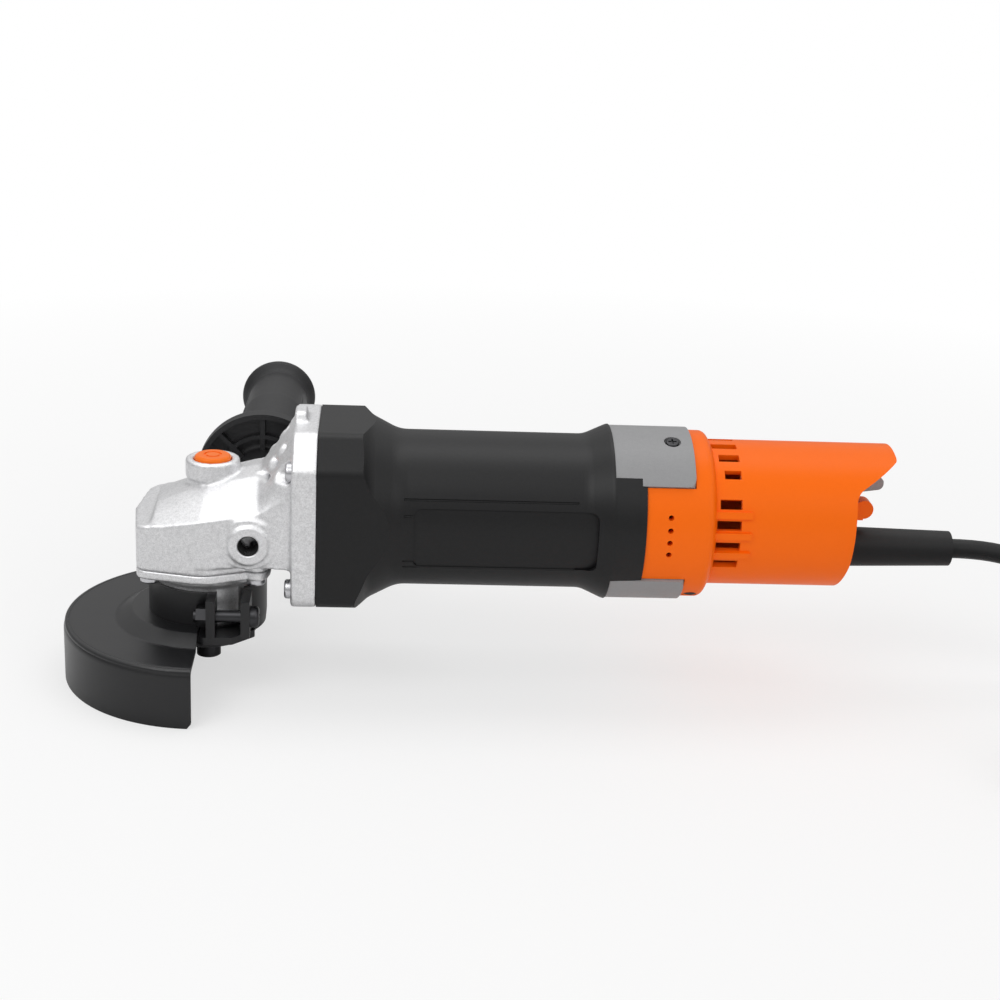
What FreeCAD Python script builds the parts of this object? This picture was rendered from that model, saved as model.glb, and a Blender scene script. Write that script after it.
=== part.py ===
import FreeCAD, Part
import math
import os

from FreeCAD import Rotation, Vector

# Angle grinder for 100 mm wheels, in millimetres. The model is drawn about the point where the motor's
# axis (along X, tail at +X) crosses the spindle's axis (along Z), and is exported with its origin on the
# spindle's axis at the face that a wheel rests on.

X, Y, Z = Vector(1, 0, 0), Vector(0, 1, 0), Vector(0, 0, 1)

# ---- driving dimensions ----
SEAT_DROP = 56.0            # wheel's seat below the motor's axis
RUNNING_GAP = 0.05          # radial clearance of every turning or sliding fit
WALL = 3.5                  # cast wall of the gear case
# gear case
CASE_BOTTOM = -20.4         # seam with the bearing cover
DECK_BOTTOM = -17.0         # underside of the case between the head and the flange
BEARING_TOP = -14.0
# half outline of the head seen from above, and the corner radii
HEAD_OUTLINE = ((-28.6, 0.0), (-25.4, 24.8), (0.9, 31.4), (26.3, 20.7))
HEAD_CORNERS = (0.0, 5.2, 16.0, 4.0)
CASE_LENGTH = 34.6          # spindle axis to the flange's front face
FLANGE_THICK = 10.0
FLANGE_HALF = 33.0          # flange half width and depth below the axis
FLANGE_TOP = 36.0
FLANGE_BEVEL = 12.0
FLANGE_SCREW_Y = 27.0
FLANGE_SCREW_Z = (-26.0, 22.0)
SCREW_R = 2.0               # M4 screws
BOSS_X, BOSS_Z = 18.3, -6.8
BOSS_FACE = 32.4
BOSS_R = 7.9
HANDLE_HOLE_R = 4.0         # M8 side handle thread
HANDLE_HOLE_DEPTH = 11.0
HANDLE_STUD_R = 3.95
HANDLE_SPOKES = 8
# spindle, gears and lock
TEETH_CROWN, TEETH_PINION = 37, 10
MODULE = 1.16
FACE_WIDTH = 6.2
SPINDLE_TOP_R = 3.5
SPINDLE_GEAR_R = 5.5
PINION_BORE = 2.4
SPINDLE_BEARING_R = 6.0
FLANGE_SEAT_R = 5.4
THREAD_R = 4.9              # M10 wheel thread
THREAD_LENGTH = 8.0
PILOT_R = 8.0               # 16 mm wheel bore
PILOT_HEIGHT = 2.0
HUB_R = 12.0
HUB_TOP = -5.4
LOCK_X = 7.6
LOCK_PIN_R = 1.9
LOCK_HOLE_R = 2.3
LOCK_TRAVEL = 4.0
BUTTON_X = 2.2
BUTTON_R = 7.2
BUTTON_TOP = 20.0
BUTTON_THICK = 3.2
BUTTON_FLOOR = 12.5
PIN_REST = -3.6             # lower end of the released lock pin
# bearings
LOWER_BEARING = (16.0, 10.0)    # outer radius and width
FRONT_BEARING = (14.0, 8.0)
REAR_BEARING = (11.0, 7.0)
SHAFT_FRONT_R = 6.0
SHAFT_REAR_R = 4.0
# bearing cover and guard
COVER_THICK = 3.7
COVER_SCREW_RADIUS = 29.3
NECK_R = 22.0
NECK_BOTTOM = -45.0
BAND_TOP, BAND_BOTTOM = -30.0, -44.0
BAND_WALL = 1.6
GUARD_R = 57.7
GUARD_WALL = 1.6
GUARD_TOP = -48.1
GUARD_RIM = -72.3
GUARD_STEP = ((37.5, -48.1), (30.5, -44.0))
EAR_X = (2.0, 15.5)
EAR_THICK = 3.5
EAR_OUT = 33.0
CLAMP_SCREW_R = 2.5
CLAMP_Y, CLAMP_Z = -28.5, -37.5
GUARD_CUT = 1.5             # the dish ends this far in front of the spindle
# motor housing
BOOT_LENGTH = 15.0
GRIP_R = 31.2
GRIP_START = 76.0
GRIP_END = 150.0
FLARE_R = 35.5
FLARE_X = 159.5
HOUSING_END = 172.3
PLASTIC = 2.6               # moulded wall
PANEL = (72.0, 25.0, 0.6)   # recessed panel on each side: length, height, depth
PANEL_X, PANEL_Z = 118.0, -3.0
GROOVE_R = 0.5
GROOVES = (24.0, 12.0, -24.0, -30.0)    # angle of each groove above the middle of the side
# motor
ARMATURE_R = 18.0
AIR_GAP = 0.6
YOKE_R = 24.2
ARMATURE_SLOTS = 12
FAN_BLADES = 12
STATOR = (88.0, 138.0)      # core, along X
POLE_HALF_ANGLE = 52.0
COIL_OVERHANG = 6.5
COMMUTATOR = (157.0, 174.0)
COMMUTATOR_R = 12.0
FAN = (49.0, 60.0)
FAN_R = 26.0
BAFFLE_X = 63.0
SHAFT_END = 190.0
# brushes and their covers
BRUSH_X = 166.0
BRUSH_HALF = (5.0, 3.2)     # half width along and across the shaft
BRUSH_END = 25.0
HOLDER_WALL = 1.2
HOLDER_END = 31.0
COVER_SPAN = (160.0, 191.5)
COVER_R = (32.0, 35.0)
COVER_HALF_ANGLES = (49.0, 54.2, 57.6)  # top cover before and behind its step, bottom cover
COVER_STEP = 170.4
COVER_BOTTOM_END = 189.7
COVER_GAP = 0.15
COVER_SCREW_X = 183.6
COVER_SCREW_ANGLE = 17.6     # of the top cover's screw, towards -Y
# rear housing
RING_R = 33.8
RING_END = 198.5
TAIL_R = 29.4
TAIL_RISE = 1.0
TAIL_LOBE = 274.6
TAIL_END = 255.9
NUB_X, NUB_Z, NUB_R = 266.0, 4.0, 3.9
SIGHT_X = 181.8             # small round holes beside the brush
SIGHT_Z = (9.0, 4.0, -1.0, -6.0)
# louvres on each side of the tail: angle from the top, and where each starts along X
SLOTS = ((9.0, 200.3), (25.0, 202.2), (41.5, 203.9), (65.5, 201.8), (82.0, 200.7), (99.3, 200.6), (116.0, 200.7))
SLOT_END, SLOT_HALF_ANGLE = 210.5, 3.8
# switch
LEVER_PIVOT = (252.0, 13.0)
LEVER_LENGTH = 20.5
LEVER_HALF = 4.0
LEVER_PIN_R = 1.5
CHEEK_Y = 7.0
CLAMP_X = 236.0             # cord clamp
# side handle
DISC_Y = 55.0
DISC_R = 28.0
HANDLE_END = 181.5
HANDLE_R = 14.5
HANDLE_END_R = 18.1
STUD_IN_GRIP = 76.0
# cord: it rests on the plane of the guard's rim
CORD_R = 4.0
CORD_Z = -13.0
SLEEVE = (244.0, 304.0)
SLEEVE_SEAT = 249.5         # face inside the tail that holds the sleeve's collar
SLEEVE_R = (8.3, 7.2)
SLEEVE_DROP = 1.5
FLOOR = GUARD_RIM
ON_FLOOR = FLOOR + CORD_R
COIL_R = 46.0               # middle of the coil's turns
COIL_CENTRE = (425.0, -50.0)
COIL_HALF_WIDTH = 12.0
COIL_HEIGHT = 22.0
COIL_LIFT = 13.9            # uppermost turn above the lowest
PLUG_HALF = (19.0, 17.0, 13.0)
PLUG_RELIEF = 22.0
PIN_R = 2.4
PIN_LENGTH = 19.0
PIN_SPACING = 18.6

AXES_TO_SEAT = Vector(0, 0, SEAT_DROP)
PINION_TILT = math.atan(TEETH_PINION / TEETH_CROWN)
CROWN_R = MODULE * TEETH_CROWN / 2
PINION_R = MODULE * TEETH_PINION / 2
COLLAR_R = NECK_R + 0.1 + BAND_WALL
FLANGE_BACK = CASE_LENGTH + FLANGE_THICK
GEAR_ROOM_END = CASE_LENGTH - 12.6
BEARING_SEAT = CASE_LENGTH - 10.6
FAN_ROOM_R = FLANGE_HALF - 4.5
RETAINER_THICK, RETAINER_R = 1.6, 21.5
RETAINER_SCREW_R = 1.6
RETAINER_X = BEARING_SEAT + FRONT_BEARING[1]
STATOR_R = GRIP_R - PLASTIC
REAR_SEAT = SHAFT_END - REAR_BEARING[1] - 1.0
REAR_RING_R = RING_R - 3.8
PLUG_X = COIL_CENTRE[0] - 80.0
PLUG_Z = FLOOR + PLUG_HALF[2]
BOOT_END = FLANGE_BACK + BOOT_LENGTH


# ---- shapes ----
def rod(start, axis, radius, length):
    return Part.makeCylinder(radius, length, start, axis)


def tube(start, axis, outer, inner, length):
    return rod(start, axis, outer, length).cut(rod(start, axis, inner, length))


def block(low, high):
    low, high = Vector(*low), Vector(*high)
    size = high - low
    return Part.makeBox(size.x, size.y, size.z, low)


def turned(profile, centre, axis, radii=0):
    """Solid of revolution: profile holds (distance along the axis, radius) pairs, closed on itself."""
    side = Z if abs(axis.x) + abs(axis.y) > 0.5 else X
    points = [centre + axis * along + side * radius for along, radius in profile]
    return Part.Face(softened(points, radii)).revolve(centre, axis, 360)


def sector(inner, outer, low, high, middle, half_angle):
    """Part of a ring about the X axis, from low to high along it; angles in degrees, 0 at +Z."""
    points = [Vector(x, 0, r) for x, r in ((low, inner), (high, inner), (high, outer), (low, outer))]
    face = Part.Face(Part.makePolygon(points + [points[0]]))
    face.rotate(Vector(), X, middle - half_angle)
    return face.revolve(Vector(), X, 2 * half_angle)


def coil_spring(base, radius, wire, height, turns):
    """Round-wire compression spring standing on base along +Z."""
    pitch = (height - 2 * wire) / turns
    path = Part.makeHelix(pitch, pitch * turns, radius)
    path.translate(base + Z * wire)
    section = Part.Wire(Part.makeCircle(wire, base + Vector(radius, 0, wire), Y))
    return Part.Wire(path.Edges).makePipeShell([section], True, True)


def softened(points, radii):
    """Closed wire through 3-D corner points, each corner rounded by an arc (radii: one number or one each)."""
    count = len(points)
    if not hasattr(radii, "__len__"):
        radii = [radii] * count
    ends = []
    for i in range(count):
        before, corner, after = points[i - 1], points[i], points[(i + 1) % count]
        into, out = before - corner, after - corner
        half = into.getAngle(out) / 2
        reach = min(radii[i] / math.tan(half), 0.48 * into.Length, 0.48 * out.Length)
        radius = reach * math.tan(half)
        first, last = corner + into.normalize() * reach, corner + out.normalize() * reach
        inward = ((first + last) * 0.5 - corner).normalize() if radius else Vector()
        middle = corner + inward * (radius / math.sin(half) - radius)
        ends.append((first, middle, last))
    edges = []
    for i in range(count):
        first, middle, last = ends[i]
        if radii[i]:
            edges.append(Part.Arc(first, middle, last).toShape())
        edges.append(Part.LineSegment(last, ends[(i + 1) % count][0]).toShape())
    return Part.Wire(edges)


def prism(points, radius, way):
    """Extrusion along way of a polygon of 3-D points with rounded corners."""
    wire = softened(points, radius) if radius else Part.makePolygon(points + [points[0]])
    return Part.Face(wire).extrude(way)


def around(shape, axis, count, centre=Vector()):
    copies = []
    for i in range(count):
        copy = shape.copy()
        copy.rotate(centre, axis, 360.0 * i / count)
        copies.append(copy)
    return copies


def mirrored(shapes, normal):
    return shapes + [shape.mirror(Vector(), normal) for shape in shapes]


def grouped(shapes):
    return Part.makeCompound(shapes)


def pan_screw(seat, way, radius, length, head=1.9, rise=0.62):
    """Screw whose head sits on seat and whose shank runs along way, with a cross recess in its head."""
    up = way * -1
    height = 2 * radius * rise
    body = rod(seat, way, radius, length).fuse(rod(seat, up, radius * head, height))
    rim = max(body.Edges, key=lambda e: ((e.CenterOfMass - seat).dot(up), e.Length))
    body = body.makeFillet(height * 0.45, [rim])
    side = up.cross(Z if abs(up.z) < 0.5 else X).normalize()
    arm = Part.makeBox(radius * 2.2, radius * 0.45, height)
    arm.translate(Vector(-radius * 1.1, -radius * 0.225, 0))
    cross = arm.fuse(arm.rotated(Vector(), Z, 90))
    cross.Placement = FreeCAD.Placement(seat + up * height * 0.55, Rotation(side, up.cross(side), up, "ZXY"))
    return body.cut(cross)


def export(shape, node):
    placed = shape.copy()
    placed.translate(AXES_TO_SEAT)
    placed.exportStep(f"parts/{node}.step")


# ---- gear case ----
def flange_outline(x, inset=0.0):
    half, top, bevel = FLANGE_HALF - inset, FLANGE_TOP - inset, FLANGE_BEVEL
    corners = [(-half, -half), (half, -half), (half, top - bevel), (half - bevel, top),
               (bevel - half, top), (-half, top - bevel)]
    return [Vector(x, y, z) for y, z in corners]


def case_section(x, width, wall_top, ridge, deck, top):
    """Half section of the case at x, mirrored: a wall, a slope up to the ridge, the deck and its crown."""
    half = [(width, DECK_BOTTOM), (width, wall_top), ridge, deck]
    points = half + [(0, top)] + [(-y, z) for y, z in reversed(half)]
    return Part.makePolygon([Vector(x, y, z) for y, z in points + [points[0]]])


def head_plan(inset, low, high):
    """The head's outline from above, drawn in by inset and extruded from low to high."""
    half = list(HEAD_OUTLINE)
    points = half + [(x, -y) for x, y in reversed(half[1:])]
    radii = list(HEAD_CORNERS) + list(reversed(HEAD_CORNERS[1:]))
    face = Part.Face(softened([Vector(x, y, low) for x, y in points], radii))
    if inset:
        face = face.makeOffset2D(-inset)
    return face.extrude(Z * (high - low))


def head_body(inset):
    """The head: a low nose with a dome over the gears, which widens into a deck rising to the flange."""
    drop = 0.5 * inset
    nose = head_plan(inset, CASE_BOTTOM, 4.0)
    above = prism([Vector(x, -60, z - drop) for x, z in ((-45, -6.0), (-18.0, -1.1), (24.0, -1.1), (24.0, 30), (-45, 30))],
                  0, Y * 120)
    nose = nose.cut(above)
    dome = turned([(-6.0, 0), (-6.0, 19.2 - inset), (-2.4 - drop, 18.9 - inset), (7.2 - inset, 10.3 - drop),
                   (11.3 - inset, 0)], Vector(), Z, [0, 0, 6.0, 18.0, 0])
    front = case_section(-19.6 + inset, 26.3 - inset, -2.0 - drop, (15.5 - inset, 1.0 - drop), (8 - drop, 2.2 - drop),
                         2.6 - drop)
    centre = case_section(0, 31.3 - inset, 2.3 - 0.3 * inset, (18.6 - inset, 7.3 - inset), (9 - drop, 10.6 - inset),
                          11.3 - inset)
    middle = case_section(21.6, 29 - inset, 5.0 - 0.3 * inset, (23.0 - inset, 9.5 - inset),
                          (12 - inset, 15.5 - inset), 16.7 - inset)
    back = case_section(CASE_LENGTH, 31 - inset, 12.0, (28.0 - inset, 26.0 - inset), (18 - inset, 33.0 - inset),
                        33.5 - inset)
    sections = [front, centre, middle, back]
    deck = [Part.makeLoft([first, second], True, True) for first, second in zip(sections, sections[1:])]
    return nose.multiFuse([dome] + deck)


def corner_posts(radius, top):
    post = rod(Vector(COVER_SCREW_RADIUS, 0, CASE_BOTTOM), Z, radius, top - CASE_BOTTOM)
    return [p.rotated(Vector(), Z, 45) for p in around(post, Z, 4)]


def gear_case():
    body = head_body(0)
    body = body.multiFuse(corner_posts(5.0, -4.0))
    flange = prism(flange_outline(CASE_LENGTH), 6.0, X * FLANGE_THICK)
    boss_ends = [rod(Vector(BOSS_X, -BOSS_FACE, BOSS_Z), Y, BOSS_R, 2 * BOSS_FACE)]
    boss_steps = [rod(Vector(BOSS_X, -BOSS_FACE + 1.6, BOSS_Z), Y, BOSS_R + 2.4, 2 * BOSS_FACE - 3.2)]
    ribs = [block((BOSS_X, -BOSS_FACE + 2.4, BOSS_Z - 7), (CASE_LENGTH + 1, BOSS_FACE - 2.4, BOSS_Z + 9))]
    platform = turned([(4.0, 0), (4.0, 9.0), (10.5, 9.0), (11.5, 10.75), (18.2, 10.75), (18.8, 10.2),
                       (18.8, 0)], Vector(BUTTON_X, 0, 0), Z)
    lug = prism([Vector(CASE_LENGTH, y, z) for y, z in ((-7, 35), (7, 35), (5.5, 40), (-5.5, 40))], 1.5,
                X * 5.0)
    body = body.multiFuse([flange, lug, platform] + boss_ends + boss_steps + ribs)
    hollow = head_body(WALL).common(block((-60, -60, CASE_BOTTOM - 1), (GEAR_ROOM_END, 60, 60)))
    bores = [
        rod(Vector(15, 0, 0), X, 9.0, FLANGE_BACK),
        rod(Vector(BEARING_SEAT, 0, 0), X, FRONT_BEARING[0], FLANGE_BACK),
        rod(Vector(CASE_LENGTH - 1.0, 0, 0), X, FAN_ROOM_R, FLANGE_THICK + 2),
        rod(Vector(RETAINER_X, 0, 0), X, RETAINER_R, RETAINER_THICK + 1),
        rod(Vector(0, 0, 2.5), Z, 5.0, 6.5),
        rod(Vector(BUTTON_X, 0, BUTTON_FLOOR), Z, BUTTON_R + 0.3, 10),
        rod(Vector(LOCK_X, 0, 0), Z, LOCK_PIN_R + RUNNING_GAP, 20),
    ]
    body = body.cut(hollow)
    posts = [p.common(head_body(0)) for p in corner_posts(5.0, -6.0)]
    bosses = [rod(Vector(BOSS_X, side * BOSS_FACE, BOSS_Z), Y * -side, BOSS_R - 1.2, 13.5) for side in (-1, 1)]
    bush_boss = rod(Vector(0, 0, 2.6), Z, 8.0, 8)
    pin_boss = rod(Vector(LOCK_X, 0, 4.5), Z, LOCK_PIN_R + 2.0, 8)
    body = body.multiFuse(posts + bosses + [bush_boss, pin_boss])
    body = body.cut(grouped(bores))
    handle_holes = [rod(Vector(BOSS_X, side * BOSS_FACE, BOSS_Z), Y * -side, HANDLE_HOLE_R, HANDLE_HOLE_DEPTH)
                    for side in (-1, 1)]
    screw_holes = [rod(Vector(CASE_LENGTH - 1, y, z), X, SCREW_R, FLANGE_THICK + 2) for y, z in flange_screws()]
    screw_holes += [rod(at, X * -1, RETAINER_SCREW_R, 9.0) for at in retainer_screws_at()]
    head_rooms = [rod(Vector(CASE_LENGTH, y, z), X * -1, SCREW_R * 1.9 + 0.5, 12) for y, z in flange_screws()]
    cover_holes = corner_posts(SCREW_R, -9.0)
    vents = mirrored(exhaust_slots(), Y)
    return body.cut(grouped(handle_holes + screw_holes + head_rooms + cover_holes + vents)).removeSplitter()


def flange_screws():
    return [(y, z) for y in (-FLANGE_SCREW_Y, FLANGE_SCREW_Y) for z in FLANGE_SCREW_Z]


def exhaust_slots():
    """Slots through the case's shoulder that let the fan's air out over the deck."""
    slots = []
    for i in range(3):
        low = 15.0 + 5.5 * i
        slots.append(block((GEAR_ROOM_END - 2, -20.0 + 1.5 * i, low), (CASE_LENGTH + 1, -8.0, low + 3.0)))
    return slots


def spindle_top_bush():
    return tube(Vector(0, 0, 2.5), Z, 5.0, SPINDLE_TOP_R + RUNNING_GAP, 6.5)


def gear_case_screws():
    seats = [Vector(CASE_LENGTH, y, z) for y, z in flange_screws()]
    return grouped([pan_screw(seat, X, SCREW_R, 24) for seat in seats])


# ---- bearing cover ----
def bearing_cover():
    """Lower cover of the case: a flange, a spigot that centres it, and the neck that the guard clamps."""
    under = CASE_BOTTOM - COVER_THICK
    plate = head_plan(0, under, CASE_BOTTOM)
    ears = [e.rotated(Vector(), Z, 45) for e in
            around(rod(Vector(COVER_SCREW_RADIUS, 0, under), Z, 5.0, COVER_THICK), Z, 4)]
    spigot = rod(Vector(0, 0, CASE_BOTTOM), Z, LOWER_BEARING[0] + 3.0, BEARING_TOP - CASE_BOTTOM)
    neck = turned([(under, 0), (under, 25.2), (under - 3.2, 24.2), (under - 4.4, NECK_R), (NECK_BOTTOM, NECK_R),
                   (NECK_BOTTOM, 0)], Vector(), Z)
    body = plate.multiFuse(ears + [spigot, neck])
    seat = BEARING_TOP - LOWER_BEARING[1]
    body = body.cut(rod(Vector(0, 0, seat), Z, LOWER_BEARING[0], 30))
    body = body.cut(rod(Vector(0, 0, NECK_BOTTOM - 1), Z, 13.5, 60))
    holes = [h.rotated(Vector(), Z, 45) for h in
             around(rod(Vector(COVER_SCREW_RADIUS, 0, under - 1), Z, SCREW_R, COVER_THICK + 2), Z, 4)]
    return body.cut(grouped(holes)).removeSplitter()


def bearing_cover_screws():
    seat = Vector(COVER_SCREW_RADIUS, 0, CASE_BOTTOM - COVER_THICK)
    screw = pan_screw(seat, Z, SCREW_R, COVER_THICK + 5.0)
    return grouped([s.rotated(Vector(), Z, 45) for s in around(screw, Z, 4)])


def ball_bearing(start, axis, outer, inner, width, balls=8):
    """Two grooved rings and their balls."""
    middle = (outer + inner) / 2
    ball_r = 0.3 * (outer - inner)
    land = 0.26 * (outer - inner)
    centre = start + axis * (width / 2)
    groove = Part.makeTorus(middle, ball_r, centre, axis)
    rings = [tube(start, axis, outer, outer - land, width), tube(start, axis, inner + land, inner, width)]
    side = X if abs(axis.z) > 0.5 else Z
    ball = Part.makeSphere(ball_r - 0.02, centre + side * middle)
    return grouped([ring.cut(groove) for ring in rings] + around(ball, axis, balls, centre))


def spindle_bearing():
    start = Vector(0, 0, BEARING_TOP - LOWER_BEARING[1])
    return ball_bearing(start, Z, LOWER_BEARING[0], SPINDLE_BEARING_R, LOWER_BEARING[1])


# ---- spindle and gears ----
def spindle():
    """Wheel spindle: journal in the bush, gear seat, bearing seat, collar, and the wheel's thread."""
    gear_bottom = BEARING_TOP + 3.0
    profile = [(8.6, 0), (8.6, SPINDLE_TOP_R), (-3.0, SPINDLE_TOP_R), (-3.0, SPINDLE_GEAR_R),
               (gear_bottom, SPINDLE_GEAR_R), (gear_bottom, SPINDLE_BEARING_R + 1.5),
               (BEARING_TOP, SPINDLE_BEARING_R + 1.5), (BEARING_TOP, SPINDLE_BEARING_R),
               (BEARING_TOP - 12.0, SPINDLE_BEARING_R), (BEARING_TOP - 12.0, 9.0),
               (-SEAT_DROP + 6.0, 9.0), (-SEAT_DROP + 6.0, FLANGE_SEAT_R),
               (-SEAT_DROP - PILOT_HEIGHT, FLANGE_SEAT_R), (-SEAT_DROP - PILOT_HEIGHT, THREAD_R),
               (-SEAT_DROP - PILOT_HEIGHT - THREAD_LENGTH, THREAD_R),
               (-SEAT_DROP - PILOT_HEIGHT - THREAD_LENGTH, 0)]
    return turned(profile, Vector(), Z)


def bevel_tooth(reach, root, tip, root_half, tip_half, cone):
    """Straight bevel tooth whose flanks all run to the point where the axes cross."""
    corners = [(root_half, root), (tip_half, tip), (-tip_half, tip), (-root_half, root)]
    ends = []
    for share in (1.0, 1.0 - FACE_WIDTH / cone):
        points = [Vector(reach, y, z) * share for y, z in corners]
        ends.append(Part.makePolygon(points + [points[0]]))
    return Part.makeLoft(ends, True, True)


def tooth_sizes():
    cone = math.hypot(CROWN_R, PINION_R)
    thick_half = 0.18 * math.pi * MODULE
    lean = math.tan(math.radians(20))
    addendum, dedendum = 0.75 * MODULE, 1.2 * MODULE
    return cone, thick_half, lean, addendum, dedendum


def crown_gear():
    cone, thick_half, lean, addendum, dedendum = tooth_sizes()
    inner = 1.0 - FACE_WIDTH / cone
    root = -PINION_R - dedendum
    bottom = BEARING_TOP + 3.0
    blank = turned([(HUB_TOP, SPINDLE_GEAR_R), (HUB_TOP, HUB_R), (HUB_TOP - 1.4, HUB_R + 0.6),
                    (HUB_TOP - 1.4, CROWN_R * inner - 1.0), (root * inner, CROWN_R * inner), (root, CROWN_R),
                    (root - 1.8, CROWN_R), (bottom, CROWN_R - 3.5), (bottom, SPINDLE_GEAR_R)], Vector(), Z)
    sunk = 0.5
    tooth = bevel_tooth(CROWN_R, root - sunk, addendum - PINION_R, thick_half + (dedendum + sunk) * lean,
                        thick_half - addendum * lean, cone)
    gear = blank.multiFuse(around(tooth, Z, TEETH_CROWN))
    holes = around(rod(Vector(LOCK_X, 0, HUB_TOP - 4.2), Z, LOCK_HOLE_R, 10), Z, 4)
    return gear.cut(grouped(holes)).removeSplitter()


def pinion():
    cone, thick_half, lean, addendum, dedendum = tooth_sizes()
    inner = 1.0 - FACE_WIDTH / cone
    root = PINION_R - dedendum
    blank = turned([(CROWN_R * inner, PINION_BORE), (CROWN_R * inner, root * inner), (CROWN_R, root),
                    (CROWN_R, root + 0.8), (BEARING_SEAT, root + 0.8), (BEARING_SEAT, PINION_BORE)], Vector(), X)
    sunk = 0.5
    tooth = bevel_tooth(CROWN_R, root - sunk, PINION_R + addendum, thick_half + (dedendum + sunk) * lean * 0.5,
                        thick_half - addendum * lean, cone)
    teeth = around(tooth, X, TEETH_PINION)
    gear = blank.multiFuse(teeth).removeSplitter()
    gear.rotate(Vector(), X, 0.0 if TEETH_PINION % 2 else 180.0 / TEETH_PINION)
    return gear


def pinion_nut():
    nut = prism([Vector(CROWN_R * 0.6, 3.7 * math.cos(a), 3.7 * math.sin(a)) for a in
                 [math.radians(60 * i) for i in range(6)]], 0, X * 2.4)
    reach = CROWN_R * (1.0 - FACE_WIDTH / tooth_sizes()[0])
    nut.translate(X * (reach - 2.4 - CROWN_R * 0.6))
    return nut.cut(rod(Vector(0, 0, 0), X, PINION_BORE, 30))


def wheel_flange():
    """Inner flange: its lower face is the wheel's seat, and its pilot centres a 16 mm bore."""
    profile = [(-SEAT_DROP - PILOT_HEIGHT, FLANGE_SEAT_R), (-SEAT_DROP - PILOT_HEIGHT, PILOT_R),
               (-SEAT_DROP, PILOT_R), (-SEAT_DROP, 17.5), (-SEAT_DROP + 2.5, 20.0), (-SEAT_DROP + 6.0, 20.0),
               (-SEAT_DROP + 6.0, FLANGE_SEAT_R)]
    return turned(profile, Vector(), Z, [0, 0.5, 0, 0.8, 1.5, 1.0, 0])


# ---- spindle lock ----
def lock_button():
    """Cap with its pin in one piece; the pin enters one of the crown gear's holes."""
    cap = rod(Vector(BUTTON_X, 0, BUTTON_TOP - BUTTON_THICK), Z, BUTTON_R, BUTTON_THICK)
    top = max(cap.Edges, key=lambda e: e.CenterOfMass.z)
    cap = cap.makeFillet(1.4, [top])
    dish = tube(Vector(BUTTON_X, 0, BUTTON_TOP - 0.4), Z, 3.6, 2.6, 2)
    return cap.cut(dish)


def lock_pin():
    return rod(Vector(LOCK_X, 0, PIN_REST), Z, LOCK_PIN_R, BUTTON_TOP - BUTTON_THICK - PIN_REST)


def lock_spring():
    return coil_spring(Vector(BUTTON_X - 1.4, 0, BUTTON_FLOOR), 2.6, 0.4, BUTTON_TOP - BUTTON_THICK - BUTTON_FLOOR, 3)


# ---- wheel guard ----
def guard_shell():
    """Half a pressed dish: a rim, a flat ring, a raised step and the disc that the collar is riveted to."""
    (step_out, low), (step_in, high) = GUARD_STEP
    wall = GUARD_WALL
    outer = [(GUARD_RIM, GUARD_R), (GUARD_TOP, GUARD_R), (low, step_out), (high, step_in), (high, COLLAR_R)]
    inner = [(high - wall, COLLAR_R), (high - wall, step_in - 0.5 * wall), (low - wall, step_out - 0.5 * wall),
             (GUARD_TOP - wall, GUARD_R - wall), (GUARD_RIM, GUARD_R - wall)]
    dish = turned(outer + inner, Vector(), Z, [0, 3.5, 2.0, 1.2, 0, 0, 0.8, 1.5, 2.0, 0])
    bead = Part.makeTorus(GUARD_R - 1.6, 1.2, Vector(0, 0, GUARD_TOP - 1.2), Z)
    dish = dish.fuse(bead)
    corner = prism([Vector(x, -80, z) for x, z in ((-90, -20), (-GUARD_CUT, -20), (-GUARD_CUT, GUARD_RIM + 2),
                                                  (-GUARD_CUT - 2.4, GUARD_RIM - 1), (-90, GUARD_RIM - 1))], 0,
                   Y * 160)
    return dish.common(corner)


def guard_collar():
    """Base ring under the step and the split band around the neck, with its two clamping ears."""
    inner = COLLAR_R - BAND_WALL
    band = tube(Vector(0, 0, BAND_BOTTOM), Z, COLLAR_R, inner, BAND_TOP - BAND_BOTTOM)
    base = turned([(BAND_BOTTOM, inner), (BAND_BOTTOM - GUARD_WALL, inner), (BAND_BOTTOM - 6.0, inner + 0.2),
                   (BAND_BOTTOM - 6.0, COLLAR_R - 0.4), (BAND_BOTTOM - GUARD_WALL, COLLAR_R),
                   (BAND_BOTTOM, COLLAR_R)], Vector(), Z)
    ears = [block((x, -EAR_OUT, BAND_BOTTOM - 1.0), (x + EAR_THICK, -COLLAR_R + 4.5, BAND_TOP)) for x in EAR_X]
    shelf = prism([Vector(x, y, BAND_BOTTOM - 4.0) for x, y in
                   ((-1.0, -18), (-1.0, -EAR_OUT), (12, -EAR_OUT + 0.5), (20.5, -24), (19, -12))], 2.0, Z * 3.0)
    body = band.multiFuse([base, shelf] + ears)
    gap = block((EAR_X[0] + EAR_THICK, -EAR_OUT - 1, BAND_BOTTOM), (EAR_X[1], -10, BAND_TOP + 1))
    body = body.cut(gap).cut(rod(Vector(0, 0, BAND_BOTTOM - 10), Z, inner, 40))
    hole = rod(Vector(EAR_X[0] - 1, CLAMP_Y, CLAMP_Z), X, CLAMP_SCREW_R, EAR_X[1] - EAR_X[0] + EAR_THICK + 2)
    return body.cut(hole).removeSplitter()


def guard_clamp_screw():
    seat = Vector(EAR_X[1] + EAR_THICK, CLAMP_Y, CLAMP_Z)
    return pan_screw(seat, X * -1, CLAMP_SCREW_R, seat.x - EAR_X[0] + 5.0, 1.7, 0.7)


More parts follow.
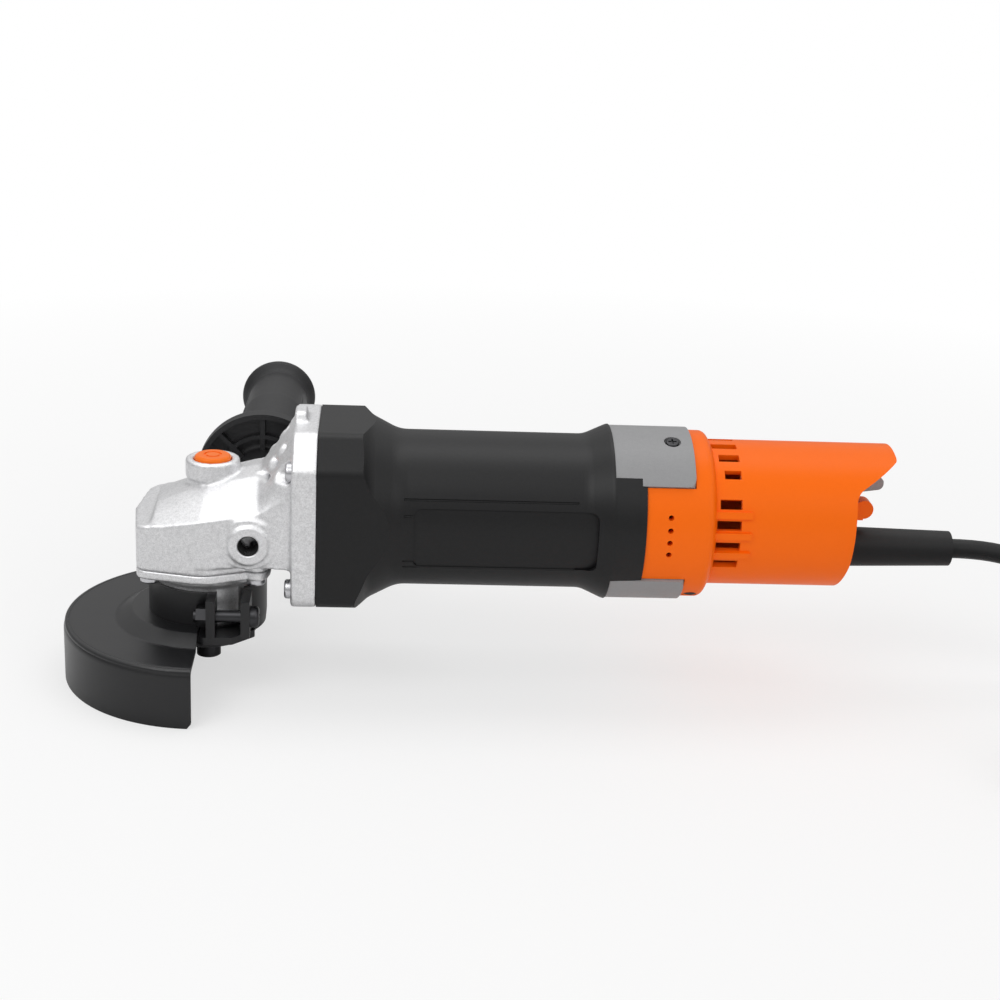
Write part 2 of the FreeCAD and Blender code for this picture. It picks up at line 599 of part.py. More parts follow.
def guard_clamp_nut():
    points = [Vector(EAR_X[0] - 4.0, CLAMP_Y + 4.4 * math.cos(a), CLAMP_Z + 4.4 * math.sin(a)) for a in
              [math.radians(60 * i) for i in range(6)]]
    nut = prism(points, 0, X * 4.0)
    return nut.cut(rod(Vector(EAR_X[0] - 5, CLAMP_Y, CLAMP_Z), X, CLAMP_SCREW_R, 6))


# ---- front bearing of the armature ----
def front_bearing():
    return ball_bearing(Vector(BEARING_SEAT, 0, 0), X, FRONT_BEARING[0], SHAFT_FRONT_R, FRONT_BEARING[1])


def retainer_screws_at():
    seat = Vector(RETAINER_X + RETAINER_THICK, 0, 18.0)
    return [Rotation(X, 120 * i).multVec(seat - X * seat.x) + X * seat.x for i in range(3)]


def bearing_retainer():
    plate = tube(Vector(RETAINER_X, 0, 0), X, RETAINER_R, 9.0, RETAINER_THICK)
    holes = [rod(at - X * 5, X, RETAINER_SCREW_R, 10) for at in retainer_screws_at()]
    return plate.cut(grouped(holes))


def bearing_retainer_screws():
    return grouped([pan_screw(at, X * -1, RETAINER_SCREW_R, 9.0) for at in retainer_screws_at()])


# ---- motor housing ----
def housing_profile(inset):
    """Outline of the housing along X as radii: neck behind the boot, grip, flare and end."""
    return [(FLANGE_BACK, 0), (FLANGE_BACK, 60), (BOOT_END, 60), (BOOT_END, 44.0), (BOOT_END + 5.0, 37.0),
            (GRIP_START, GRIP_R - inset), (GRIP_END, GRIP_R - inset), (FLARE_X, FLARE_R - inset),
            (HOUSING_END, FLARE_R - 0.9 - inset), (HOUSING_END, 0)]


def motor_housing():
    body = turned(housing_profile(0), Vector(), X, [0, 0, 0, 3.0, 8.0, 14.0, 10.0, 4.0, 0, 0])
    boot = prism(flange_outline(FLANGE_BACK), 6.0, X * (GRIP_START + 4.0 - FLANGE_BACK))
    grip = turned([(GRIP_START, 0), (GRIP_START, 40), (HOUSING_END, 40), (HOUSING_END, 0)], Vector(), X)
    body = body.common(boot.fuse(grip))
    room = rod(Vector(FLANGE_BACK - 1, 0, 0), X, FAN_ROOM_R, BAFFLE_X - FLANGE_BACK + 1)
    bore = rod(Vector(FLANGE_BACK, 0, 0), X, STATOR_R, HOUSING_END)
    rear = turned([(GRIP_END, 0), (GRIP_END, STATOR_R), (FLARE_X, FLARE_R - PLASTIC - 1.9),
                   (HOUSING_END + 1, FLARE_R - PLASTIC - 1.9), (HOUSING_END + 1, 0)], Vector(), X)
    body = body.cut(room).cut(bore).cut(rear)
    tongue = sector(STATOR_R - 2.2, STATOR_R + 1.0, GRIP_END - 6, RING_END - 1, 180, 46)
    bridge = tube(Vector(REAR_SEAT, 0, 0), X, REAR_BEARING[0] + 3.0, REAR_BEARING[0] + 0.8, REAR_BEARING[1] + 1)
    arms = []
    for side in (-1, 1):
        for end, low, high in ((REAR_SEAT + REAR_BEARING[1], 12.6, STATOR_R + 0.8), (HOUSING_END - 1, 20.0, 32.0)):
            low_y, high_y = sorted((side * low, side * high))
            arms.append(block((GRIP_END - 4, low_y, -4), (end, high_y, 4)))
    clear = rod(Vector(GRIP_END - 5, 0, 0), X, COMMUTATOR_R + 3.5, REAR_SEAT - GRIP_END + 2.5)
    arms = [arm.cut(clear) for arm in arms]
    body = body.multiFuse([tongue, bridge] + arms)
    cuts = [rod(Vector(FLANGE_BACK - 1, y, z), X, SCREW_R, 16) for y, z in flange_screws()]
    cuts += [holder_block(side, 0.0) for side in (-1, 1)]
    cuts += cover_screw_holes()
    cuts += ring_screw_holes()
    cuts += cover_pockets()
    cuts += mirrored([panel_recess()] + grooves(), Y)
    return body.cut(grouped(cuts)).removeSplitter()


def panel_recess():
    """Shallow rounded panel in the grip's side, left bare."""
    length, height, depth = PANEL
    corners = [Vector(PANEL_X + dx * length / 2, -GRIP_R - 5, dz * height / 2 + PANEL_Z)
               for dx, dz in ((-1, -1), (1, -1), (1, 1), (-1, 1))]
    plate = prism(corners, 3.0, Y * 30)
    return plate.cut(rod(Vector(0, 0, 0), X, GRIP_R - depth, HOUSING_END))


def grooves():
    lines = []
    for angle in GROOVES:
        a = math.radians(angle)
        at = Vector(GRIP_START + 2, -GRIP_R * math.cos(a), GRIP_R * math.sin(a))
        lines.append(rod(at, X, GROOVE_R, GRIP_END - GRIP_START - 6))
    return lines


def air_baffle():
    """Ring that leads the cooling air from the motor into the fan."""
    return turned([(BAFFLE_X, STATOR_R - 8.0), (BAFFLE_X, STATOR_R), (BAFFLE_X + 2.5, STATOR_R),
                   (BAFFLE_X + 2.5, STATOR_R - 8.0)], Vector(), X)


# ---- motor ----
def stator_core():
    """Stack of laminations: a yoke ring with a pole face above and below the armature."""
    start, end = STATOR
    ring = tube(Vector(start, 0, 0), X, STATOR_R, YOKE_R, end - start)
    bore = ARMATURE_R + AIR_GAP
    poles = [sector(bore, YOKE_R + 1, start, end, middle, POLE_HALF_ANGLE) for middle in (0, 180)]
    core = ring.multiFuse(poles)
    return core.cut(grouped(stator_screw_holes())).removeSplitter()


def stator_screw_holes():
    reach = (STATOR_R + YOKE_R) / 2
    return [rod(Vector(STATOR[0] - 12, side * reach, 0), X, 1.6, STATOR[1] - STATOR[0] + 24) for side in (-1, 1)]


def stator_screws():
    reach = (STATOR_R + YOKE_R) / 2
    seats = [Vector(STATOR[1], side * reach, 0) for side in (-1, 1)]
    return grouped([pan_screw(seat, X * -1, 1.6, STATOR[1] - STATOR[0] + 12, 1.35) for seat in seats])


def field_coils():
    """Two wound coils, each around one pole: straight sides in the gaps and end turns beyond the core."""
    start, end = STATOR
    inner, outer = ARMATURE_R + AIR_GAP + 1.0, YOKE_R - 0.4
    coils = []
    for middle in (0, 180):
        hoop = sector(inner, outer, start - COIL_OVERHANG, end + COIL_OVERHANG, middle, 88)
        pole = sector(inner - 2, outer + 2, start - 0.3, end + 0.3, middle, POLE_HALF_ANGLE + 1.5)
        coils.append(hoop.cut(pole))
    return grouped(coils)


def armature_shaft():
    reach = CROWN_R * (1.0 - FACE_WIDTH / tooth_sizes()[0]) - 3.0
    seat = BEARING_SEAT
    profile = [(reach, 0), (reach, PINION_BORE), (seat, PINION_BORE), (seat, SHAFT_FRONT_R),
               (seat + FRONT_BEARING[1], SHAFT_FRONT_R), (seat + FRONT_BEARING[1], SHAFT_FRONT_R + 1.0),
               (COMMUTATOR[0] - 2, SHAFT_FRONT_R + 1.0), (COMMUTATOR[0] - 2, SHAFT_REAR_R + 1.5),
               (REAR_SEAT, SHAFT_REAR_R + 1.5), (REAR_SEAT, SHAFT_REAR_R), (SHAFT_END, SHAFT_REAR_R), (SHAFT_END, 0)]
    return turned(profile, Vector(), X)


def armature_core():
    """Lamination stack with a slot under each coil."""
    start, end = STATOR
    core = tube(Vector(start, 0, 0), X, ARMATURE_R, SHAFT_FRONT_R + 1.0, end - start)
    slot = block((start - 1, -1.1, ARMATURE_R - 6.0), (end + 1, 1.1, ARMATURE_R - 1.2))
    mouth = block((start - 1, -0.6, ARMATURE_R - 2.0), (end + 1, 0.6, ARMATURE_R + 1))
    return core.cut(grouped(around(slot.fuse(mouth), X, ARMATURE_SLOTS)))


def armature_windings():
    """Winding heads at both ends, joined by the wires that lie in the slots."""
    start, end = STATOR
    wire = block((start - 1, -1.1, ARMATURE_R - 6.0), (end + 1, 1.1, ARMATURE_R - 1.2))
    heads = [turned([(x, SHAFT_FRONT_R + 1.0), (x, ARMATURE_R - 1.6), (x + way * 6.0, ARMATURE_R - 2.6),
                     (x + way * COIL_OVERHANG * 1.4, SHAFT_FRONT_R + 4), (x + way * COIL_OVERHANG * 1.4,
                     SHAFT_FRONT_R + 1.0)], Vector(), X) for x, way in ((start, -1), (end, 1))]
    return heads[0].multiFuse([heads[1]] + around(wire, X, ARMATURE_SLOTS))


def commutator():
    start, end = COMMUTATOR
    drum = tube(Vector(start, 0, 0), X, COMMUTATOR_R, SHAFT_REAR_R + 1.5, end - start)
    riser = tube(Vector(start - 2.0, 0, 0), X, COMMUTATOR_R + 1.6, SHAFT_REAR_R + 1.5, 2.0)
    cut = block((start - 3, -0.25, COMMUTATOR_R - 1.0), (end + 1, 0.25, COMMUTATOR_R + 3))
    return drum.fuse(riser).cut(grouped(around(cut, X, 2 * ARMATURE_SLOTS)))


def fan():
    """Centrifugal fan: a hub, a back plate and straight blades."""
    start, end = FAN
    hub = tube(Vector(start, 0, 0), X, 11.0, SHAFT_FRONT_R + 1.0, end - start)
    plate = tube(Vector(start, 0, 0), X, FAN_R, SHAFT_FRONT_R + 1.0, 2.0)
    blade = block((start, -0.8, 10.5), (end, 0.8, FAN_R - 0.4))
    blade.rotate(Vector(0, 0, 18), X, 24)
    return hub.multiFuse([plate] + around(blade, X, FAN_BLADES)).removeSplitter()


def rear_bearing():
    return ball_bearing(Vector(REAR_SEAT, 0, 0), X, REAR_BEARING[0], SHAFT_REAR_R, REAR_BEARING[1], 7)


def rear_bearing_sleeve():
    """Rubber cup that cushions the rear bearing in its bridge."""
    return tube(Vector(REAR_SEAT, 0, 0), X, REAR_BEARING[0] + 0.8, REAR_BEARING[0], REAR_BEARING[1])


# ---- brushes ----
def holder_block(side, grow):
    half_x, half_y = BRUSH_HALF[0] + HOLDER_WALL + grow, BRUSH_HALF[1] + HOLDER_WALL + grow
    low, high = sorted((side * (COMMUTATOR_R + 1.5), side * HOLDER_END))
    return block((BRUSH_X - half_x, -half_y, low), (BRUSH_X + half_x, half_y, high))


def brush_holders():
    holders = []
    for side in (-1, 1):
        low, high = sorted((side * COMMUTATOR_R, side * (HOLDER_END - HOLDER_WALL)))
        slot = block((BRUSH_X - BRUSH_HALF[0], -BRUSH_HALF[1], low), (BRUSH_X + BRUSH_HALF[0], BRUSH_HALF[1], high))
        holders.append(holder_block(side, 0).cut(slot))
    return grouped(holders)


def brushes():
    blocks = []
    for side in (-1, 1):
        low, high = sorted((side * (COMMUTATOR_R + 0.1), side * BRUSH_END))
        blocks.append(block((BRUSH_X - BRUSH_HALF[0], -BRUSH_HALF[1], low),
                            (BRUSH_X + BRUSH_HALF[0], BRUSH_HALF[1], high)))
    return grouped(blocks)


def brush_springs():
    upper = coil_spring(Vector(BRUSH_X, 0, BRUSH_END), 2.4, 0.35, HOLDER_END - HOLDER_WALL - BRUSH_END, 3)
    return grouped(mirrored([upper], Z))


def cover_pockets():
    before, behind, bottom = [half + 0.4 for half in COVER_HALF_ANGLES]
    start, end, bottom_end = COVER_SPAN[0] - COVER_GAP, COVER_SPAN[1] + COVER_GAP, COVER_BOTTOM_END + COVER_GAP
    inner, outer = COVER_R[0], FLARE_R + 4
    return [sector(inner, outer, start, end, 0, before),
            sector(inner, outer, COVER_STEP - COVER_GAP, end, 0, behind),
            sector(inner, outer, start, bottom_end, 180, bottom)]


def cover_screw_way(side):
    """Outward direction of a cover's screw."""
    angle = math.radians(COVER_SCREW_ANGLE if side > 0 else 180)
    return Vector(0, -math.sin(angle), math.cos(angle))


def cover_screw_seat(side):
    return Vector(COVER_SCREW_X, 0, 0) + cover_screw_way(side) * (COVER_R[1] - 1.4)


def brush_cover(side):
    """Curved lid over a brush, let flush into both housings; its rear corners are rounded."""
    seat, way = cover_screw_seat(side), cover_screw_way(side)
    before, behind, bottom = COVER_HALF_ANGLES
    if side > 0:
        lid = sector(COVER_R[0], COVER_R[1], COVER_SPAN[0], COVER_SPAN[1], 0, before)
        lid = lid.fuse(sector(COVER_R[0], COVER_R[1], COVER_STEP, COVER_SPAN[1], 0, behind))
        end, half = COVER_SPAN[1], COVER_R[1] * math.sin(math.radians(behind))
    else:
        lid = sector(COVER_R[0], COVER_R[1], COVER_SPAN[0], COVER_BOTTOM_END, 180, bottom)
        end, half = COVER_BOTTOM_END, COVER_R[1] * math.sin(math.radians(bottom))
    corners = [Vector(COVER_SPAN[0] - 1, -half - 1, 0), Vector(end, -half - 0.1, 0), Vector(end, half + 0.1, 0),
               Vector(COVER_SPAN[0] - 1, half + 1, 0)]
    outline = prism(corners, [0, 3.0, 3.0, 0], Z * side * 60)
    cuts = [rod(seat, way, 3.4, 5), rod(seat - way * 6, way, 1.5, 7)]
    return lid.common(outline).cut(grouped(cuts)).removeSplitter()


def brush_cover_screws():
    return grouped([pan_screw(cover_screw_seat(side), cover_screw_way(side) * -1, 1.5, 4.5, 1.8, 0.5)
                    for side in (1, -1)])


# ---- rear housing ----
def tail_outline(inset):
    """Side view of the tail: a lobe above the switch, a hollow under it and a raked lower end."""
    top, bottom = TAIL_RISE + TAIL_R + 2 - inset, TAIL_RISE - TAIL_R - 2 + inset
    lobe, end = TAIL_LOBE - inset, TAIL_END - inset
    corners = [(RING_END - 12, top), (lobe, top), (lobe, 28.0), (end + 0.6, 17.6 + 0.4 * inset),
               (end, -12.0), (end - 2.0, bottom), (RING_END - 12, bottom)]
    radii = [0, 5.0, 1.4, 6.0, 20.0, 5.0, 0]
    return [Vector(x, -60, z) for x, z in corners], radii


def tail_body(inset):
    barrel = rod(Vector(RING_END - 8, 0, TAIL_RISE), X, TAIL_R - inset, TAIL_LOBE - RING_END + 10)
    points, radii = tail_outline(inset)
    return barrel.common(Part.Face(softened(points, radii)).extrude(Y * 120))


def rear_housing():
    ring = turned([(HOUSING_END, 0), (HOUSING_END, RING_R), (RING_END, RING_R), (RING_END + 3.0, TAIL_R - 1.5),
                   (RING_END + 3.0, 0)], Vector(), X, [0, 0, 3.0, 1.0, 0])
    body = ring.fuse(tail_body(0))
    ring_room = turned([(HOUSING_END - 1, 0), (HOUSING_END - 1, REAR_RING_R), (RING_END - 1, REAR_RING_R),
                        (RING_END - 1, 0)], Vector(), X)
    body = body.cut(ring_room).cut(tail_body(PLASTIC))
    rib = block((TAIL_END - 5, -3.0, NUB_Z - 4.5), (NUB_X, 3.0, NUB_Z + 3.0))
    nub = rod(Vector(NUB_X, -3.0, NUB_Z), Y, NUB_R, 6.0)
    body = body.multiFuse([rib, nub])
    clamp_posts = [rod(Vector(CLAMP_X, side * 11.0, -TAIL_R + 2), Z, 3.2, CORD_Z + TAIL_R - 2) for side in (-1, 1)]
    shelf = block((LEVER_PIVOT[0] - 19, -9.0, -0.6), (LEVER_PIVOT[0] + 3, 9.0, 1.4))
    side_webs = [block((LEVER_PIVOT[0] - 19, min(side * 8.8, side * 28), -0.6),
                       (LEVER_PIVOT[0] + 3, max(side * 8.8, side * 28), 1.4)) for side in (-1, 1)]
    inside = [p.common(tail_body(0.5)) for p in clamp_posts + [shelf] + side_webs]
    body = body.multiFuse(inside)
    cuts = cover_pockets()
    cuts.append(rod(Vector(TAIL_END - 12, 0, CORD_Z), X, SLEEVE_R[0] + 0.05, 30))
    cuts.append(rod(Vector(SLEEVE_SEAT, 0, CORD_Z), X * -1, SLEEVE_R[0] + 2.05, 12))
    cuts.append(block((TAIL_END - 8, -CHEEK_Y - 0.3, 8.1), (TAIL_END + 20, CHEEK_Y + 0.3, 21.0)))
    cuts += mirrored(intake_slots(), Y)
    cuts += mirrored([rod(Vector(SIGHT_X, -40, z), Y, 1.1, 12) for z in SIGHT_Z], Y)
    cuts += cover_screw_holes() + ring_screw_holes()
    cuts += [rod(at - Z * 6, Z, 3.2, 6) for at in ring_screws_at()]
    return body.cut(grouped(cuts)).removeSplitter()


def intake_slots():
    """Louvres on one side of the tail, in an upper and a lower group."""
    slots = [sector(TAIL_R - 3.4, TAIL_R + 3, start, SLOT_END, angle, SLOT_HALF_ANGLE) for angle, start in SLOTS]
    return [slot.translated(Z * TAIL_RISE) for slot in slots]


def ring_screws_at():
    """Seats of the two screws that hold the rear housing to the motor housing's tongue."""
    across = 18.0
    return [Vector(RING_END - 4.6, side * across, 2.4 - math.sqrt(RING_R ** 2 - across ** 2)) for side in (-1, 1)]


def ring_screw_holes():
    return [rod(at - Z * 4, Z, 1.6, 14) for at in ring_screws_at()]


def cover_screw_holes():
    return [rod(cover_screw_seat(side) + cover_screw_way(side) * 3, cover_screw_way(side) * -1, 1.5, 9)
            for side in (-1, 1)]


def rear_housing_screws():
    return grouped([pan_screw(at, Z, 1.6, 5.2, 1.9, 0.5) for at in ring_screws_at()])


# ---- switch ----
def switch_body():
    """Switch block with two cheeks that carry the lever's pin."""
    x, z = LEVER_PIVOT
    block_end = x - 4.5
    case = block((x - 19, -8.5, 1.4), (block_end, 8.5, 23.0))
    cheeks = [block((block_end, min(side * (LEVER_HALF + 0.3), side * CHEEK_Y), z - 4.0),
                    (x + 3.0, max(side * (LEVER_HALF + 0.3), side * CHEEK_Y), z + 4.0)) for side in (-1, 1)]
    body = case.multiFuse(cheeks)
    terminals = [block((x - 22, y - 1.5, 8), (x - 19, y + 1.5, 8.8)) for y in (-5, 5)]
    return body.multiFuse(terminals).cut(rod(Vector(x, -10, z), Y, LEVER_PIN_R, 20))


def switch_pin():
    x, z = LEVER_PIVOT
    return rod(Vector(x, -CHEEK_Y, z), Y, LEVER_PIN_R, 2 * CHEEK_Y)


def switch_lever():
    x, z = LEVER_PIVOT
    hub = rod(Vector(x, -LEVER_HALF, z), Y, 3.6, 2 * LEVER_HALF)
    stick = prism([Vector(x, -LEVER_HALF, z - 2.6), Vector(x + LEVER_LENGTH, -LEVER_HALF, z + 0.4),
                   Vector(x + LEVER_LENGTH, -LEVER_HALF, z + 5.6), Vector(x, -LEVER_HALF, z + 2.6)],
                  [0, 2.5, 2.5, 0], Y * 2 * LEVER_HALF)
    return hub.fuse(stick).cut(rod(Vector(x, -10, z), Y, LEVER_PIN_R + RUNNING_GAP, 20)).removeSplitter()


# ---- side handle ----
def handle_axis_point(y):
    return Vector(BOSS_X, y, BOSS_Z)


def handle_grip():
    """Moulded grip with a hand guard: the guard's rim, spokes and inner ring face the tool."""
    profile = [(BOSS_FACE + 0.3, HANDLE_STUD_R), (BOSS_FACE + 0.3, 9.0), (DISC_Y - 4.0, 11.5),
               (DISC_Y + 1.0, 12.0), (DISC_Y + 1.0, DISC_R), (DISC_Y + 4.0, DISC_R), (DISC_Y + 5.5, DISC_R - 2.0),
               (DISC_Y + 10.0, HANDLE_R + 1.0), (DISC_Y + 26.0, HANDLE_R - 1.2), (DISC_Y + 75.0, HANDLE_R + 0.8),
               (HANDLE_END - 9.0, HANDLE_R - 0.5), (HANDLE_END - 4.0, HANDLE_END_R), (HANDLE_END, HANDLE_END_R - 1.0),
               (HANDLE_END, HANDLE_STUD_R + 4), (HANDLE_END - 6.0, HANDLE_STUD_R), ]
    radii = [0, 1.0, 6.0, 2.0, 0, 1.2, 2.0, 8.0, 30.0, 30.0, 6.0, 3.0, 1.5, 0, 0]
    grip = turned(profile, handle_axis_point(0), Y, radii)
    rim = tube(handle_axis_point(DISC_Y - 3.0), Y, DISC_R, DISC_R - 2.2, 5.0)
    ring = tube(handle_axis_point(DISC_Y - 2.0), Y, 18.5, 16.8, 4.0)
    spoke = block((BOSS_X - 1.0, DISC_Y - 2.0, BOSS_Z + 11.0), (BOSS_X + 1.0, DISC_Y + 2.0, BOSS_Z + DISC_R - 1))
    spokes = around(spoke, Y, HANDLE_SPOKES, handle_axis_point(0))
    body = grip.multiFuse([rim, ring] + spokes)
    flute = rod(handle_axis_point(DISC_Y + 34) + Z * (HANDLE_R + 1.6), Y, 1.6, 74)
    flutes = [f for i, f in enumerate(around(flute, Y, 12, handle_axis_point(0))) if i not in (0, 1, 11)]
    bore = rod(handle_axis_point(BOSS_FACE), Y, HANDLE_STUD_R, STUD_IN_GRIP)
    return body.cut(grouped(flutes + [bore])).removeSplitter()


def handle_stud():
    start = BOSS_FACE - HANDLE_HOLE_DEPTH + 1.0
    return rod(handle_axis_point(start), Y, HANDLE_STUD_R, BOSS_FACE + STUD_IN_GRIP - 8 - start)


# ---- cord ----
def cord_sleeve():
    """Strain relief: a tapered sleeve with a collar that the rear housing holds."""
    start, end = SLEEVE
    collar = tube(Vector(SLEEVE_SEAT - 3.0, 0, CORD_Z), X, SLEEVE_R[0] + 2.0, SLEEVE_R[0], 3.0)
    visible = TAIL_END + 0.5
    straight = turned([(start, CORD_R), (start, SLEEVE_R[0]), (visible, SLEEVE_R[0]), (end, SLEEVE_R[1]),
                       (end, CORD_R)], Vector(0, 0, CORD_Z), X)
    return straight.fuse(collar).removeSplitter()


def cord_lead():
    return rod(Vector(SLEEVE[0] - 22, 0, CORD_Z), X, CORD_R, SLEEVE[1] - SLEEVE[0] + 22)


def cord_clamp():
    bar = block((CLAMP_X - 4, -14.5, CORD_Z + CORD_R), (CLAMP_X + 4, 14.5, CORD_Z + CORD_R + 3.0))
    feet = [block((CLAMP_X - 4, min(side * 7.5, side * 14.5), CORD_Z), (CLAMP_X + 4, max(side * 7.5, side * 14.5),
                  CORD_Z + CORD_R + 0.1)) for side in (-1, 1)]
    holes = [rod(Vector(CLAMP_X, side * 11.0, CORD_Z - 1), Z, 1.5, 12) for side in (-1, 1)]
    return bar.multiFuse(feet).cut(grouped(holes)).removeSplitter()


def cord_clamp_screws():
    seats = [Vector(CLAMP_X, side * 11.0, CORD_Z + CORD_R + 3.0) for side in (-1, 1)]
    return grouped([pan_screw(seat, Z * -1, 1.5, CORD_R + 3.0, 1.9, 0.5) for seat in seats])


def routed(points, radius, name):
    """Tube along straight runs joined by tangent arcs, each as large as its two runs allow."""
    points = [Vector(*p) for p in points]
    edges, at, length, radii = [], points[0], 0.0, []
    for i in range(1, len(points) - 1):
        into, out = points[i - 1] - points[i], points[i + 1] - points[i]
        half_turn = (math.pi - into.getAngle(out)) / 2
        reach = 0.45 * min(into.Length, out.Length)
        bend = reach / math.tan(half_turn)
        first, last = points[i] + into.normalize() * reach, points[i] + out.normalize() * reach
        inward = ((first + last) * 0.5 - points[i]).normalize()
        middle = points[i] + inward * (bend / math.cos(half_turn) - bend)
        edges += [Part.LineSegment(at, first).toShape(), Part.Arc(first, middle, last).toShape()]
        radii.append(round(bend))
        at = last
    edges.append(Part.LineSegment(at, points[-1]).toShape())
    path = Part.Wire(edges)
    section = Part.Wire(Part.makeCircle(radius, points[0], points[1] - points[0]))
    body = path.makePipeShell([section], True, True)
    full = math.pi * radius ** 2 * path.Length
    print(f"{name}: {path.Length:.0f} mm, bends {radii}, volume {body.Volume / full:.4f} of its section")
    return body


def cord_tube():
    x, y = COIL_CENTRE
    exit_x, exit_z = SLEEVE[1], CORD_Z
    return routed([(exit_x, 0, exit_z), (exit_x + 16, 0, exit_z), (exit_x + 36, -0.5, exit_z - 5.5),
                   (exit_x + 55, -2.0, exit_z - 17.5), (exit_x + 70, -3.0, exit_z - 31), (exit_x + 86, -3.8, exit_z - 43),
                   (exit_x + 103, -4.2, exit_z - 51), (x, y + COIL_R, ON_FLOOR + 0.7)], CORD_R, "cord_tube")


def cord_tail():
    x, side = COIL_CENTRE[0], COIL_CENTRE[1] - COIL_R
    plug_end = PLUG_X + PLUG_HALF[0] + PLUG_RELIEF
    top = ON_FLOOR + COIL_LIFT
    return routed([(x - 6, side, top), (x - 17, side - 0.1, top - 0.9), (plug_end + 11, side - 0.3, PLUG_Z + 1.6),
                   (plug_end, side - 0.6, PLUG_Z + 0.2)], CORD_R, "cord_tail")


def cord_coil():
    x, y = COIL_CENTRE
    half, height = COIL_HALF_WIDTH, COIL_HEIGHT
    return turned([(0, COIL_R - half), (0, COIL_R + half), (2 * CORD_R, COIL_R + half), (height, COIL_R + CORD_R),
                   (height, COIL_R - CORD_R), (2 * CORD_R, COIL_R - half)], Vector(x, y, FLOOR), Z, 3.0)


def coil_tie():
    """Strap around the wound cord."""
    x, y = COIL_CENTRE
    half, height = COIL_HALF_WIDTH, COIL_HEIGHT
    def outline(grow):
        return [Vector(x + COIL_R + across * (half + grow), y - 5.0, FLOOR + up) for across, up in
                ((-1, 0.0), (1, 0.0), (1, 2 * CORD_R + grow), (0.35, height + grow), (-0.35, height + grow),
                 (-1, 2 * CORD_R + grow))]
    strap = prism(outline(1.2), 0, Y * 10.0)
    coil = cord_coil()
    return strap.cut(coil)


def plug_body():
    half_x, half_y, half_z = PLUG_HALF
    side = COIL_CENTRE[1] - COIL_R - 0.6
    grip = block((PLUG_X - half_x, side - half_y, PLUG_Z - half_z), (PLUG_X + half_x, side + half_y, PLUG_Z + half_z))
    grip = grip.makeFillet(6.0, [e for e in grip.Edges if abs(e.tangentAt(0).x) > 0.9])
    rear = [e for e in grip.Edges if e.CenterOfMass.x > PLUG_X + half_x - 0.1]
    grip = grip.makeFillet(4.0, rear)
    relief = Part.makeCone(7.0, 5.0, PLUG_RELIEF + 1, Vector(PLUG_X + half_x - 1, side, PLUG_Z), X)
    body = grip.fuse(relief)
    holes = [rod(Vector(PLUG_X - half_x - 1, side + way * PIN_SPACING / 2, PLUG_Z), X, PIN_R, 9) for way in (-1, 1)]
    return body.cut(grouped(holes)).removeSplitter()


def plug_pins():
    side = COIL_CENTRE[1] - COIL_R - 0.6
    front = PLUG_X - PLUG_HALF[0]
    pins = []
    for way in (-1, 1):
        pin = rod(Vector(front - PIN_LENGTH, side + way * PIN_SPACING / 2, PLUG_Z), X, PIN_R, PIN_LENGTH + 8)
        tip = min(pin.Edges, key=lambda e: e.CenterOfMass.x)
        pins.append(pin.makeFillet(1.2, [tip]))
    return grouped(pins)


os.makedirs("parts", exist_ok=True)
PIECES = {
    "gear_case": gear_case, "gear_case_screws": gear_case_screws, "spindle_top_bush": spindle_top_bush,
    "bearing_cover": bearing_cover, "bearing_cover_screws": bearing_cover_screws,
    "spindle_bearing": spindle_bearing, "spindle": spindle, "crown_gear": crown_gear,
    "wheel_flange": wheel_flange, "pinion": pinion, "pinion_nut": pinion_nut,
    "lock_button": lock_button, "lock_pin": lock_pin, "lock_spring": lock_spring,
    "guard_shell": guard_shell, "guard_collar": guard_collar, "guard_clamp_screw": guard_clamp_screw,
    "guard_clamp_nut": guard_clamp_nut, "front_bearing": front_bearing, "bearing_retainer": bearing_retainer,
    "bearing_retainer_screws": bearing_retainer_screws, "motor_housing": motor_housing,
    "air_baffle": air_baffle, "stator_core": stator_core, "stator_screws": stator_screws,
    "field_coils": field_coils, "armature_shaft": armature_shaft, "armature_core": armature_core,
    "armature_windings": armature_windings, "commutator": commutator, "fan": fan,
    "rear_bearing": rear_bearing, "rear_bearing_sleeve": rear_bearing_sleeve,
    "brush_holders": brush_holders, "brushes": brushes, "brush_springs": brush_springs,
    "brush_cover_top": lambda: brush_cover(1), "brush_cover_bottom": lambda: brush_cover(-1),
    "brush_cover_screws": brush_cover_screws, "rear_housing": rear_housing,
    "rear_housing_screws": rear_housing_screws, "switch_body": switch_body, "switch_pin": switch_pin,
    "switch_lever": switch_lever, "handle_grip": handle_grip, "handle_stud": handle_stud,
    "cord_sleeve": cord_sleeve, "cord_lead": cord_lead, "cord_clamp": cord_clamp,
    "cord_clamp_screws": cord_clamp_screws, "cord_tube": cord_tube, "cord_coil": cord_coil,
    "cord_tail": cord_tail, "coil_tie": coil_tie, "plug_body": plug_body, "plug_pins": plug_pins,
}
for node, make in PIECES.items():
    piece = make()
    if not piece.isValid() or not piece.Solids:
        raise ValueError(f"{node} isn't a valid solid")
    export(piece, node)
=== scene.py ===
"""Looks of an angle grinder for 100 mm wheels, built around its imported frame.

Lengths are metres. The origin lies on the spindle's axis at the face that a wheel rests on, +X runs to the
tail, +Y to the side handle and +Z up. Sizes in the classes below are millimetres about the point where the
motor's axis crosses the spindle's, as on the drawing, and at() turns them into the frame's metres.
"""

import logging
import math
from dataclasses import dataclass, field
from enum import Enum
from typing import Callable, Iterable, Sequence

import bmesh
import bpy
from mathutils import Matrix, Quaternion, Vector

